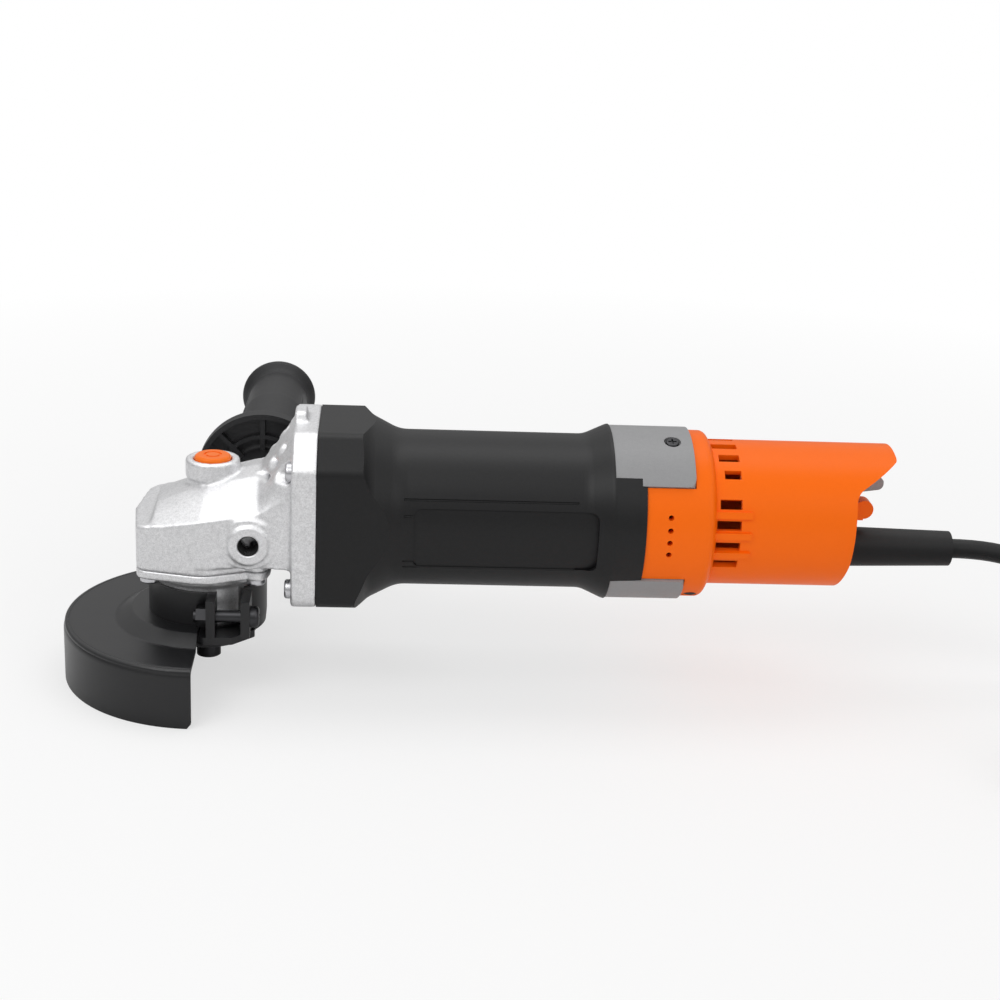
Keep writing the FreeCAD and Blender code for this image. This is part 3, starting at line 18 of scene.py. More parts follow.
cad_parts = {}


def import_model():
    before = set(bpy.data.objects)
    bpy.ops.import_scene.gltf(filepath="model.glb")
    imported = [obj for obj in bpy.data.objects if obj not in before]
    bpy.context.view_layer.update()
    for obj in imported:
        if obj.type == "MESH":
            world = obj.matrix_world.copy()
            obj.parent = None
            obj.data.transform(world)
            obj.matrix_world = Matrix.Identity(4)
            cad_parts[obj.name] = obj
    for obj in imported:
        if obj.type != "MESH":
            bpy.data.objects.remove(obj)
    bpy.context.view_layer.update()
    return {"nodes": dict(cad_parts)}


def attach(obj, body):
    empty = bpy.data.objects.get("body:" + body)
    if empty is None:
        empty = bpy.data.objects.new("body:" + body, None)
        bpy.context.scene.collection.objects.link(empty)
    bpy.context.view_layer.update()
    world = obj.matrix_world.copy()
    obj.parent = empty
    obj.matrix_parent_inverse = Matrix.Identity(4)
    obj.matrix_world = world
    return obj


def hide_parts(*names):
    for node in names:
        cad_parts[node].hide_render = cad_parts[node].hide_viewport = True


log = logging.getLogger("angle_grinder")

MILLIMETRE = 0.001
SEAT_DROP = 56.0            # the wheel's seat below the motor's axis
FLOOR = -72.3               # the guard's rim, on which the grinder stands
CORD_RADIUS = 4.0


def at(x: float, y: float, z: float) -> Vector:
    """Turns a point on the drawing into the frame's metres."""
    return Vector((x, y, z + SEAT_DROP)) * MILLIMETRE


def around(axis_x: float, axis_z: float, radius: float, angle: float, y: float) -> Vector:
    """Gives a point on the drawing on a circle about an axis along Y, with the angle in degrees from +X to +Z."""
    turn = math.radians(angle)
    return Vector((axis_x + radius * math.cos(turn), y, axis_z + radius * math.sin(turn)))


class Slot(Enum):
    """Material slots of the record."""

    CAST_ALUMINIUM = "cast_aluminium"
    STEEL = "steel"
    DARK_STEEL = "dark_steel"
    GUARD_BLACK = "guard_black"
    BLACK_PLASTIC = "black_plastic"
    ORANGE_PLASTIC = "orange_plastic"
    BUTTON_ORANGE = "button_orange"
    GREY_PLASTIC = "grey_plastic"
    GRIP_BLACK = "grip_black"
    BLACK_RUBBER = "black_rubber"
    BRONZE = "bronze"
    COPPER = "copper"
    LAMINATIONS = "laminations"
    CARBON = "carbon"
    WHITE_NYLON = "white_nylon"
    BRASS_PINS = "brass_pins"


class Body(Enum):
    """Bodies of the frame that new pieces ride on."""

    HOUSING = "housing"
    SPINDLE = "spindle"
    GUARD = "guard"
    LOCK = "lock"
    SIDE_HANDLE = "side_handle"
    SWITCH = "switch"


# ---------------------------------------------------------------- shader node groups


class NodeSheet:
    """Adds and joins the nodes of one shader tree."""

    def __init__(self, tree: bpy.types.NodeTree) -> None:
        """Keeps the tree that nodes are added to.

        Args:
            tree: a material's or a group's node tree.
        """
        self.tree = tree

    def add(self, kind: str, **settings: object) -> bpy.types.Node:
        """Adds a node and sets its properties and inputs.

        Args:
            kind: the node's type name.
            settings: properties by name, and inputs by name with spaces as underscores.

        Returns:
            The new node.
        """
        node = self.tree.nodes.new(kind)
        for name, value in settings.items():
            if hasattr(node, name):
                setattr(node, name, value)
            else:
                self.feed(node, name.replace("_", " "), value)
        return node

    def feed(self, node: bpy.types.Node, name: str | int, value: object) -> None:
        """Sets an input to a value, or joins an output to it.

        Args:
            node: the node with the input.
            name: the input's name or number.
            value: a number, a colour or another node's output socket.
        """
        socket = node.inputs[name]
        if isinstance(value, bpy.types.NodeSocket):
            self.tree.links.new(value, socket)
        else:
            socket.default_value = value

    def math(self, operation: str, first: object, second: object = 0.0) -> bpy.types.NodeSocket:
        """Adds a math node and returns its output."""
        node = self.add("ShaderNodeMath", operation=operation)
        self.feed(node, 0, first)
        self.feed(node, 1, second)
        return node.outputs[0]

    def mix(self, share: object, first: object, second: object) -> bpy.types.NodeSocket:
        """Adds a colour mix node and returns its output."""
        node = self.add("ShaderNodeMix", data_type="RGBA")
        self.feed(node, 0, share)
        self.feed(node, 6, first)
        self.feed(node, 7, second)
        return node.outputs[2]

    def ranged(self, value: object, low: object, high: object) -> bpy.types.NodeSocket:
        """Spreads a value from 0 to 1 over a range and returns the output."""
        node = self.add("ShaderNodeMapRange")
        self.feed(node, "Value", value)
        self.feed(node, "To Min", low)
        self.feed(node, "To Max", high)
        return node.outputs[0]

    def noise(self, place: object, scale: object, detail: float = 3.0, roughness: float = 0.55) -> bpy.types.NodeSocket:
        """Adds a noise texture and returns its value."""
        node = self.add("ShaderNodeTexNoise", Scale=scale, Detail=detail, Roughness=roughness)
        self.feed(node, "Vector", place)
        return node.outputs[0]


def new_group(name: str, inputs: dict[str, float], outputs: Sequence[str]) -> tuple[bpy.types.NodeTree, NodeSheet]:
    """Makes an empty shader group with a vector input and number inputs and outputs.

    Args:
        name: the group's name.
        inputs: the number inputs and their defaults.
        outputs: the number outputs.

    Returns:
        The group and a sheet to fill it with.
    """
    group = bpy.data.node_groups.new(name, "ShaderNodeTree")
    group.interface.new_socket("Place", in_out="INPUT", socket_type="NodeSocketVector")
    for socket, value in inputs.items():
        made = group.interface.new_socket(socket, in_out="INPUT", socket_type="NodeSocketFloat")
        made.default_value = value
    for socket in outputs:
        group.interface.new_socket(socket, in_out="OUTPUT", socket_type="NodeSocketFloat")
    return group, NodeSheet(group)


class Effect(Enum):
    """Shader groups that finishes share."""

    GRAIN = "surface_grain"
    HANDLING = "handling_marks"
    DUST = "settled_dust"


class EffectShelf:
    """Builds each shared shader group once and hands it out."""

    def __init__(self) -> None:
        """Starts with no group built."""
        self.groups: dict[Effect, bpy.types.NodeTree] = {}

    def group(self, effect: Effect) -> bpy.types.NodeTree:
        """Returns a shared group, built on its first use."""
        if effect not in self.groups:
            build: dict[Effect, Callable[[], bpy.types.NodeTree]] = {
                Effect.GRAIN: self._grain, Effect.HANDLING: self._handling, Effect.DUST: self._dust}
            self.groups[effect] = build[effect]()
        return self.groups[effect]

    def _grain(self) -> bpy.types.NodeTree:
        """Builds the fine grain of cast, moulded or painted skin: a speckle and a height."""
        group, sheet = new_group(Effect.GRAIN.value, {"Size": 0.0004, "Coarse": 0.4}, ("Speckle", "Height"))
        source = sheet.add("NodeGroupInput").outputs
        result = sheet.add("NodeGroupOutput")
        per_metre = sheet.math("DIVIDE", 1.0, source["Size"])
        fine = sheet.noise(source["Place"], per_metre, 2.0, 0.6)
        coarse = sheet.noise(source["Place"], sheet.math("MULTIPLY", per_metre, 0.31), 3.0)
        blended = sheet.add("ShaderNodeMix", data_type="FLOAT")
        sheet.feed(blended, 0, source["Coarse"])
        sheet.feed(blended, 2, fine)
        sheet.feed(blended, 3, coarse)
        sharp = sheet.add("ShaderNodeMapRange", From_Min=0.33, From_Max=0.67)
        sheet.feed(sharp, "Value", blended.outputs[0])
        sheet.feed(result, "Speckle", sharp.outputs[0])
        sheet.feed(result, "Height", blended.outputs[0])
        return group

    def _handling(self) -> bpy.types.NodeTree:
        """Builds broad soft patches, which change a finish's tone and gloss a little."""
        group, sheet = new_group(Effect.HANDLING.value, {"Patch": 0.03}, ("Patches", "Smears"))
        source = sheet.add("NodeGroupInput").outputs
        result = sheet.add("NodeGroupOutput")
        per_metre = sheet.math("DIVIDE", 1.0, source["Patch"])
        broad = sheet.noise(source["Place"], per_metre, 2.0)
        streaked = sheet.add("ShaderNodeMapping")
        sheet.feed(streaked, "Vector", source["Place"])
        streaked.inputs["Scale"].default_value = (0.25, 1.0, 1.6)
        smears = sheet.noise(streaked.outputs[0], sheet.math("MULTIPLY", per_metre, 3.0), 4.0, 0.65)
        sheet.feed(result, "Patches", broad)
        sheet.feed(result, "Smears", smears)
        return group

    def _dust(self) -> bpy.types.NodeTree:
        """Builds a thin veil of dust on faces that look up."""
        group, sheet = new_group(Effect.DUST.value, {"Amount": 0.1}, ("Dust",))
        source = sheet.add("NodeGroupInput").outputs
        result = sheet.add("NodeGroupOutput")
        facing = sheet.add("ShaderNodeSeparateXYZ")
        sheet.feed(facing, 0, sheet.add("ShaderNodeNewGeometry").outputs["Normal"])
        upward = sheet.add("ShaderNodeMapRange", From_Min=0.2, From_Max=1.0)
        sheet.feed(upward, "Value", facing.outputs["Z"])
        cloud = sheet.noise(source["Place"], 240.0, 5.0, 0.7)
        veil = sheet.math("MULTIPLY", sheet.math("MULTIPLY", upward.outputs[0], cloud), source["Amount"])
        sheet.feed(result, "Dust", veil)
        return group


# ---------------------------------------------------------------- finishes


@dataclass(frozen=True)
class Finish:
    """One finish: its colour, gloss and the texture of its skin.

    Args:
        name: what the finish is called.
        slot: the record's material slot that it stands for.
        colour: linear red, green and blue.
        roughness: from 0, mirror, to 1, matt.
        metallic: 1 for bare metal.
        grain_size: width of the skin's grain, in metres.
        grain_depth: depth of that grain, in metres.
        speckle: how much the grain lightens and darkens the colour.
        coarse: share of the grain's coarser part.
        drift: how much broad patches change tone and gloss.
        dust: amount of dust on faces that look up.
        coat: weight of a clear coat.
        specular: how strongly plastic reflects, 0.5 as glass.
    """

    name: str
    slot: Slot
    colour: tuple[float, float, float]
    roughness: float
    metallic: float = 0.0
    grain_size: float = 0.0004
    grain_depth: float = 0.00002
    speckle: float = 0.05
    coarse: float = 0.4
    drift: float = 0.06
    dust: float = 0.0
    coat: float = 0.0
    specular: float = 0.5

    def _shade(self, factor: float) -> tuple[float, float, float, float]:
        """Returns the colour made lighter or darker."""
        return tuple(min(1.0, part * factor) for part in self.colour) + (1.0,)

    def material(self, shelf: EffectShelf) -> bpy.types.Material:
        """Builds the material.

        Args:
            shelf: where the shared shader groups come from.

        Returns:
            The finished material.
        """
        made = bpy.data.materials.new(self.name)
        made.use_nodes = True
        made.diffuse_color = self._shade(1.0)
        sheet = NodeSheet(made.node_tree)
        skin = made.node_tree.nodes["Principled BSDF"]
        skin.inputs["Metallic"].default_value = self.metallic
        skin.inputs["Coat Weight"].default_value = self.coat
        skin.inputs["Coat Roughness"].default_value = 0.12
        skin.inputs["Specular IOR Level"].default_value = self.specular
        place = sheet.add("ShaderNodeTexCoord").outputs["Object"]
        grain = sheet.add("ShaderNodeGroup", node_tree=shelf.group(Effect.GRAIN))
        sheet.feed(grain, "Place", place)
        sheet.feed(grain, "Size", self.grain_size)
        sheet.feed(grain, "Coarse", self.coarse)
        marks = sheet.add("ShaderNodeGroup", node_tree=shelf.group(Effect.HANDLING))
        sheet.feed(marks, "Place", place)
        tone = sheet.mix(grain.outputs["Speckle"], self._shade(1 - self.speckle), self._shade(1 + self.speckle))
        patched = sheet.mix(sheet.ranged(marks.outputs["Patches"], 0.0, self.drift * 2), tone, self._shade(0.7))
        if self.dust:
            veil = sheet.add("ShaderNodeGroup", node_tree=shelf.group(Effect.DUST))
            sheet.feed(veil, "Place", place)
            sheet.feed(veil, "Amount", self.dust)
            patched = sheet.mix(veil.outputs["Dust"], patched, (0.45, 0.44, 0.42, 1.0))
        sheet.feed(skin, "Base Color", patched)
        low, high = self.roughness * (1 - self.drift), self.roughness * (1 + self.drift)
        sheet.feed(skin, "Roughness", sheet.ranged(marks.outputs["Smears"], low, high))
        bump = sheet.add("ShaderNodeBump", Strength=1.0, Distance=self.grain_depth)
        sheet.feed(bump, "Height", grain.outputs["Height"])
        sheet.feed(skin, "Normal", bump.outputs[0])
        return made


class Finishes:
    """Keeps one material for each finish."""

    CASTING = Finish("sand_cast_aluminium", Slot.CAST_ALUMINIUM, (0.74, 0.74, 0.75), 0.46, metallic=0.9,
                     grain_size=0.00042, grain_depth=0.00011, speckle=0.2, drift=0.08)
    STEEL = Finish("ground_steel", Slot.STEEL, (0.58, 0.58, 0.60), 0.28, metallic=1.0,
                   grain_size=0.0002, grain_depth=0.000008, speckle=0.08)
    DARK_STEEL = Finish("blackened_steel", Slot.DARK_STEEL, (0.055, 0.055, 0.058), 0.33, metallic=1.0,
                        grain_size=0.0003, grain_depth=0.00001)
    GUARD = Finish("satin_black_paint", Slot.GUARD_BLACK, (0.009, 0.009, 0.010), 0.33,
                   grain_size=0.0009, grain_depth=0.000015, speckle=0.10, specular=0.42)
    BLACK = Finish("black_moulding", Slot.BLACK_PLASTIC, (0.0105, 0.0105, 0.011), 0.40,
                   grain_size=0.0005, grain_depth=0.00003, speckle=0.14, specular=0.24)
    ORANGE = Finish("orange_moulding", Slot.ORANGE_PLASTIC, (1.0, 0.155, 0.002), 0.38,
                    grain_size=0.0005, grain_depth=0.000015, speckle=0.02, drift=0.02, specular=0.16)
    BUTTON = Finish("orange_button", Slot.BUTTON_ORANGE, (1.0, 0.19, 0.012), 0.35,
                    grain_size=0.0004, grain_depth=0.00001, speckle=0.03, specular=0.2)
    GREY = Finish("grey_moulding", Slot.GREY_PLASTIC, (0.30, 0.30, 0.305), 0.42,
                  grain_size=0.0005, grain_depth=0.00002, speckle=0.05, specular=0.3)
    GRIP = Finish("grip_moulding", Slot.GRIP_BLACK, (0.016, 0.016, 0.017), 0.46,
                  grain_size=0.0006, grain_depth=0.00004, speckle=0.12, specular=0.3)
    RUBBER = Finish("lead_rubber", Slot.BLACK_RUBBER, (0.009, 0.009, 0.0095), 0.5,
                    grain_size=0.0006, grain_depth=0.00003, speckle=0.12, dust=0.02, specular=0.25)
    BRONZE = Finish("sintered_bronze", Slot.BRONZE, (0.52, 0.33, 0.14), 0.4, metallic=1.0, speckle=0.15)
    COPPER = Finish("enamelled_copper", Slot.COPPER, (0.72, 0.28, 0.10), 0.3, metallic=1.0, coat=0.4)
    LAMINATIONS = Finish("stacked_sheet", Slot.LAMINATIONS, (0.33, 0.33, 0.35), 0.45, metallic=1.0, speckle=0.15)
    CARBON = Finish("pressed_carbon", Slot.CARBON, (0.03, 0.03, 0.03), 0.6, speckle=0.2)
    NYLON = Finish("white_nylon", Slot.WHITE_NYLON, (0.78, 0.78, 0.75), 0.45)
    PINS = Finish("nickel_plate", Slot.BRASS_PINS, (0.74, 0.72, 0.68), 0.18, metallic=1.0,
                  grain_depth=0.000004)
    LABEL = Finish("white_label", Slot.GRIP_BLACK, (0.82, 0.82, 0.81), 0.4, grain_depth=0.000008, speckle=0.02)

    # Painted shade: the aluminium thread in the open hole is coloured near-black and not metallic, to stand for the
    # shade inside the bore.
    SHADED_BORE = Finish("painted_shade_bore", Slot.CAST_ALUMINIUM, (0.012, 0.012, 0.012), 0.5, metallic=0.0, specular=0.3)

    def __init__(self) -> None:
        """Starts with no material built."""
        self.shelf = EffectShelf()
        self.made: dict[str, bpy.types.Material] = {}

    def material(self, finish: Finish) -> bpy.types.Material:
        """Returns a finish's material, built on its first use."""
        if finish.name not in self.made:
            self.made[finish.name] = finish.material(self.shelf)
        return self.made[finish.name]

    def dress(self, piece: bpy.types.Object, finish: Finish) -> None:
        """Gives a whole piece one finish.

        Args:
            piece: a new piece or a frame node.
            finish: its finish.
        """
        piece.data.materials.clear()
        piece.data.materials.append(self.material(finish))

    def by_slot(self) -> dict[str, Finish]:
        """Returns the usual finish of each slot of the record."""
        usual = (self.CASTING, self.STEEL, self.DARK_STEEL, self.GUARD, self.BLACK, self.ORANGE, self.BUTTON,
                 self.GREY, self.GRIP, self.RUBBER, self.BRONZE, self.COPPER, self.LAMINATIONS, self.CARBON,
                 self.NYLON, self.PINS)
        return {finish.slot.value: finish for finish in usual}


# ---------------------------------------------------------------- mesh helpers


def new_piece(name: str, points: Iterable[Sequence[float]], faces: Iterable[Sequence[int]],
              smooth: bool = True) -> bpy.types.Object:
    """Makes a mesh object at the origin from points in metres.

    Args:
        name: the piece's name.
        points: its corners.
        faces: its faces, as corner numbers.
        smooth: whether its faces are shaded smooth.

    Returns:
        The new object, in the scene.
    """
    mesh = bpy.data.meshes.new(name)
    mesh.from_pydata([tuple(point) for point in points], [], [tuple(face) for face in faces])
    mesh.update()
    for polygon in mesh.polygons:
        polygon.use_smooth = smooth
    piece = bpy.data.objects.new(name, mesh)
    bpy.context.scene.collection.objects.link(piece)
    return piece


def applied(piece: bpy.types.Object) -> bpy.types.Object:
    """Turns a piece and its modifiers into a plain mesh and returns it."""
    bpy.context.view_layer.update()
    seen = piece.evaluated_get(bpy.context.evaluated_depsgraph_get())
    mesh = bpy.data.meshes.new_from_object(seen)
    piece.modifiers.clear()
    piece.data = mesh
    return piece


def merged_copy(node: bpy.types.Object, name: str) -> bpy.types.Object:
    """Copies a frame node into a new object with its corners merged.

    Args:
        node: the frame's node.
        name: the new object's name.

    Returns:
        The copy, in the scene.
    """
    mesh = node.data.copy()
    mesh.name = name
    solid = bmesh.new()
    solid.from_mesh(mesh)
    bmesh.ops.remove_doubles(solid, verts=solid.verts, dist=1e-6)
    solid.to_mesh(mesh)
    solid.free()
    mesh.materials.clear()
    piece = bpy.data.objects.new(name, mesh)
    bpy.context.scene.collection.objects.link(piece)
    return piece


# ---------------------------------------------------------------- sub-assemblies


@dataclass
class Workshop:
    """What every sub-assembly needs: the frame's nodes and the finishes."""

    nodes: dict[str, bpy.types.Object]
    finishes: Finishes

    def fit(self, piece: bpy.types.Object, body: Body, finish: Finish, *replaced: str) -> bpy.types.Object:
        """Dresses a new piece, hangs it on its body and reports it.

        Args:
            piece: the new piece.
            body: the body that it rides on.
            finish: its finish.
            replaced: the frame nodes that it stands for.

        Returns:
            The piece.
        """
        self.finishes.dress(piece, finish)
        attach(piece, body.value)
        if replaced:
            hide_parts(*replaced)
        log.info("%s rides on %s", piece.name, body.value)
        return piece


@dataclass
class MainsLead:
    """The mains lead: one soft curve from the sleeve to the plug, its spare length in a tied coil."""

    shop: Workshop
    sleeve_end: tuple[float, float, float] = (304.0, 0.0, -13.0)
    sag: tuple[tuple[float, float, float], ...] = (
        (320.0, 0.0, -13.0), (340.0, -0.5, -18.5), (359.0, -2.0, -30.5), (374.0, -3.0, -44.0),
        (388.0, -1.5, -56.0), (401.0, 1.5, -63.5), (413.0, 3.6, -67.6))
    coil_centre: tuple[float, float] = (425.0, -50.0)
    coil_radius: float = 46.0
    pitch: float = 2 * CORD_RADIUS
    steps: int = 16
    plug_joint: tuple[float, float, float] = (386.0, -96.6, -59.3)

    def _turns(self) -> list[tuple[float, float]]:
        """Gives each turn's distance from the middle radius and its height over the lowest turn."""
        layer = self.pitch * math.sin(math.radians(60)) + 0.3
        half = self.pitch / 2
        return [(self.pitch, 0.0), (0.0, 0.0), (-self.pitch, 0.0), (-half, layer), (half, layer), (0.0, 2 * layer),
                (0.0, 2 * layer)]

    def _coil(self) -> list[tuple[float, float, float]]:
        """Gives the coil's points, from where the lead enters it to where it leaves for the plug."""
        turns = self._turns()
        points = []
        for step in range(1, int(6.5 * self.steps) + 1):
            turn, part = divmod(step / self.steps, 1.0)
            here, there = turns[int(turn)], turns[min(int(turn) + 1, len(turns) - 1)]
            share = min(1.0, max(0.0, (part - 0.82) / 0.18))
            share = share * share * (3 - 2 * share)
            radius = self.coil_radius + here[0] * (1 - share) + there[0] * share
            rise = here[1] * (1 - share) + there[1] * share
            angle = math.radians(90.0 - 360.0 * step / self.steps)
            points.append((self.coil_centre[0] + radius * math.cos(angle),
                           self.coil_centre[1] + radius * math.sin(angle), FLOOR + CORD_RADIUS + rise))
        return points

    def route(self) -> list[Vector]:
        """Gives the lead's whole route, in metres."""
        top = self._coil()[-1]
        tail = [(top[0] - 9.0, top[1] - 1.0, top[2] + 1.0), (top[0] - 19.0, top[1] - 1.4, top[2] + 0.2),
                (396.0, -96.8, -58.8), self.plug_joint]
        return [at(*point) for point in (self.sleeve_end, *self.sag, *self._coil(), *tail)]

    def build(self) -> None:
        """Makes the lead in place of the frame's lead nodes."""
        curve = bpy.data.curves.new("mains_lead", "CURVE")
        curve.dimensions = "3D"
        route = self.route()
        spline = curve.splines.new("NURBS")
        spline.points.add(len(route) - 1)
        for point, place in zip(spline.points, route):
            point.co = (*place, 1.0)
        spline.order_u = 3
        spline.use_endpoint_u = True
        spline.resolution_u = 6
        curve.bevel_depth = CORD_RADIUS * MILLIMETRE
        curve.bevel_resolution = 3
        curve.use_fill_caps = True
        lead = bpy.data.objects.new("mains_lead", curve)
        bpy.context.scene.collection.objects.link(lead)
        self.shop.fit(lead, Body.HOUSING, Finishes.RUBBER, "cord_tube", "cord_coil", "cord_tail")


@dataclass
class GearHead:
    """The gear case and the cover under it, with the soft corners and grain of a casting."""

    shop: Workshop
    case_voxel: float = 0.00075
    cover_voxel: float = 0.0006
    rounds: int = 6

    def _cast(self, node: str, voxel: float) -> bpy.types.Object:
        """Rounds every corner of a frame node as a casting's are.

        Args:
            node: the frame node to start from.
            voxel: the new mesh's spacing, in metres.

        Returns:
            The rounded piece.
        """
        piece = merged_copy(self.shop.nodes[node], f"{node}_casting")
        skin = piece.modifiers.new("skin", "REMESH")
        skin.mode = "VOXEL"
        skin.voxel_size = voxel
        skin.use_smooth_shade = True
        soften = piece.modifiers.new("soften", "SMOOTH")
        soften.factor = 0.5
        soften.iterations = self.rounds
        return applied(piece)

    def build(self) -> None:
        """Makes the two castings."""
        self.shop.fit(self._cast("gear_case", self.case_voxel), Body.HOUSING, Finishes.CASTING, "gear_case")
        self.shop.fit(self._cast("bearing_cover", self.cover_voxel), Body.HOUSING, Finishes.CASTING,
                      "bearing_cover")


class Repeater:
    """Repeats one shape with Geometry Nodes and bakes the result."""

    def __init__(self, name: str, finish: bpy.types.Material) -> None:
        """Makes an empty node tree.

        Args:
            name: the piece's name.
            finish: the material that the tree sets.
        """
        self.name = name
        self.tree = bpy.data.node_groups.new(f"{name}_nodes", "GeometryNodeTree")
        self.tree.interface.new_socket("Geometry", in_out="INPUT", socket_type="NodeSocketGeometry")
        self.tree.interface.new_socket("Geometry", in_out="OUTPUT", socket_type="NodeSocketGeometry")
        self.sheet = NodeSheet(self.tree)
        self.finish = finish

    def spread(self, count: int, shape: bpy.types.NodeSocket, place: object, turn: object) -> bpy.types.NodeSocket:
        """Puts a shape on count points.

        Args:
            count: how many copies.
            shape: the shape's geometry.
            place: each copy's place, a value or a field.
            turn: each copy's rotation, a value or a field.

        Returns:
            The copies, as real geometry.
        """
        points = self.sheet.add("GeometryNodePoints", Count=count)
        self.sheet.feed(points, "Position", place)
        copies = self.sheet.add("GeometryNodeInstanceOnPoints")
        self.sheet.feed(copies, "Points", points.outputs[0])
        self.sheet.feed(copies, "Instance", shape)
        self.sheet.feed(copies, "Rotation", turn)
        real = self.sheet.add("GeometryNodeRealizeInstances")
        self.sheet.feed(real, 0, copies.outputs[0])
        return real.outputs[0]

    def vector(self, x: object = 0.0, y: object = 0.0, z: object = 0.0) -> bpy.types.NodeSocket:
        """Joins three numbers into a vector."""
        joined = self.sheet.add("ShaderNodeCombineXYZ")
        for number, part in enumerate((x, y, z)):
            self.sheet.feed(joined, number, part)
        return joined.outputs[0]

    def bake(self, geometry: bpy.types.NodeSocket) -> bpy.types.Object:
        """Sets the finish, runs the tree and keeps its result as a plain mesh.

        Args:
            geometry: what the tree makes.

        Returns:
            The baked piece.
        """
        coloured = self.sheet.add("GeometryNodeSetMaterial")
        self.sheet.feed(coloured, "Geometry", geometry)
        coloured.inputs["Material"].default_value = self.finish
        output = self.sheet.add("NodeGroupOutput")
        self.sheet.feed(output, 0, coloured.outputs[0])
        piece = new_piece(self.name, [], [])
        piece.modifiers.new("repeats", "NODES").node_group = self.tree
        return applied(piece)


@dataclass
class LouvreBars:
    """Raised bars between the lower louvres, three on each side of the tail."""

    shop: Workshop
    first: float = 73.9
    step: float = 16.0
    count: int = 3
    span: tuple[float, float] = (197.6, 214.6)
    radii: tuple[float, float] = (28.0, 30.5)
    width: float = 2.7
    rise: float = 1.0

    def build(self) -> None:
        """Makes the bars."""
        bars = Repeater("louvre_bars", self.shop.finishes.material(Finishes.ORANGE))
        sheet = bars.sheet
        length, middle = self.span[1] - self.span[0], (self.span[0] + self.span[1]) / 2
        height, radius = self.radii[1] - self.radii[0], (self.radii[0] + self.radii[1]) / 2
        bar = sheet.add("GeometryNodeMeshCube")
        bar.inputs["Size"].default_value = tuple(size * MILLIMETRE for size in (length, self.width, height))
        moved = sheet.add("GeometryNodeTransform")
        sheet.feed(moved, "Geometry", bar.outputs[0])
        moved.inputs["Translation"].default_value = (middle * MILLIMETRE, 0.0, radius * MILLIMETRE)
        number = sheet.add("GeometryNodeInputIndex").outputs[0]
        side = sheet.math("FLOOR", sheet.math("DIVIDE", number, float(self.count)))
        along = sheet.math("SUBTRACT", number, sheet.math("MULTIPLY", side, float(self.count)))
        angle = sheet.math("ADD", sheet.math("MULTIPLY", along, math.radians(self.step)), math.radians(self.first))
        signed = sheet.math("MULTIPLY", angle, sheet.math("SUBTRACT", 1.0, sheet.math("MULTIPLY", side, 2.0)))
        copies = bars.spread(2 * self.count, moved.outputs[0], tuple(at(0.0, 0.0, self.rise)), bars.vector(signed))
        self.shop.fit(bars.bake(copies), Body.HOUSING, Finishes.ORANGE)


@dataclass
class HandleThread:
    """The open thread for the side handle: a lining with ridges, coloured near-black as painted shade inside the hole.
    """

    shop: Workshop
    centre: tuple[float, float] = (18.3, -6.8)
    face: float = -32.0
    depth: float = 10.3
    radius: float = 3.93
    pitch: float = 1.25
    ridge: float = 0.34

    def build(self) -> None:
        """Makes the lining and its ridges."""
        # The lining and ridges carry the painted shade of the bore.
        thread = Repeater("handle_thread", self.shop.finishes.material(Finishes.SHADED_BORE))
        sheet = thread.sheet
        lining = sheet.add("GeometryNodeMeshCylinder", Vertices=48)
        sheet.feed(lining, "Radius", self.radius * MILLIMETRE)
        sheet.feed(lining, "Depth", self.depth * MILLIMETRE)
        lining.fill_type = "NONE"
        ring, profile = sheet.add("GeometryNodeCurvePrimitiveCircle"), sheet.add("GeometryNodeCurvePrimitiveCircle")
        sheet.feed(ring, "Radius", self.radius * MILLIMETRE)
        sheet.feed(profile, "Radius", self.ridge * MILLIMETRE)
        sheet.feed(profile, "Resolution", 8)
        sheet.feed(ring, "Resolution", 48)
        swept = sheet.add("GeometryNodeCurveToMesh")
        sheet.feed(swept, 0, ring.outputs[0])
        sheet.feed(swept, "Profile Curve", profile.outputs[0])
        number = sheet.add("GeometryNodeInputIndex").outputs[0]
        start = at(self.centre[0], self.face + 0.7, self.centre[1])
        along = sheet.math("ADD", sheet.math("MULTIPLY", number, self.pitch * MILLIMETRE), start.y)
        quarter = (math.radians(90.0), 0.0, 0.0)
        ridges = thread.spread(8, swept.outputs[0], thread.vector(start.x, along, start.z), quarter)
        tube = thread.spread(1, lining.outputs[0],
                             tuple(at(self.centre[0], self.face + self.depth / 2, self.centre[1])), quarter)
        joined = sheet.add("GeometryNodeJoinGeometry")
        sheet.feed(joined, 0, ridges)
        sheet.feed(joined, 0, tube)
        self.shop.fit(thread.bake(joined.outputs[0]), Body.HOUSING, Finishes.SHADED_BORE)


@dataclass
class HandleLabel:
    """A blank white label on the side handle's grip."""

    shop: Workshop
    axis: tuple[float, float] = (18.3, -6.8)
    angles: tuple[float, float] = (112.0, 163.0)
    span: tuple[float, float] = (98.0, 158.0)
    radius: float = 16.1
    steps: int = 20

    def build(self) -> None:
        """Makes the label."""
        points, faces = [], []
        for step in range(self.steps + 1):
            turn = math.radians(self.angles[0] + (self.angles[1] - self.angles[0]) * step / self.steps)
            for y in self.span:
                points.append(at(self.axis[0] + self.radius * math.cos(turn), y,
                                 self.axis[1] + self.radius * math.sin(turn)))
        for step in range(self.steps):
            first = 2 * step
            faces.append((first, first + 1, first + 3, first + 2))
        self.shop.fit(new_piece("handle_label", points, faces), Body.SIDE_HANDLE, Finishes.LABEL)


@dataclass
class FrameDress:
    """Gives every frame node that stays in view its finish."""

    shop: Workshop

    def build(self) -> None:
        """Dresses the nodes by the slot that each was packed with."""
        finishes = self.shop.finishes.by_slot()
        for name, node in self.shop.nodes.items():
            packed = node.data.materials[0].name.split(".")[0] if node.data.materials else ""
            finish = finishes.get(packed, Finishes.STEEL)
            self.shop.finishes.dress(node, finish)
            log.info("%s has the finish %s", name, finish.name)


# ---------------------------------------------------------------- studio


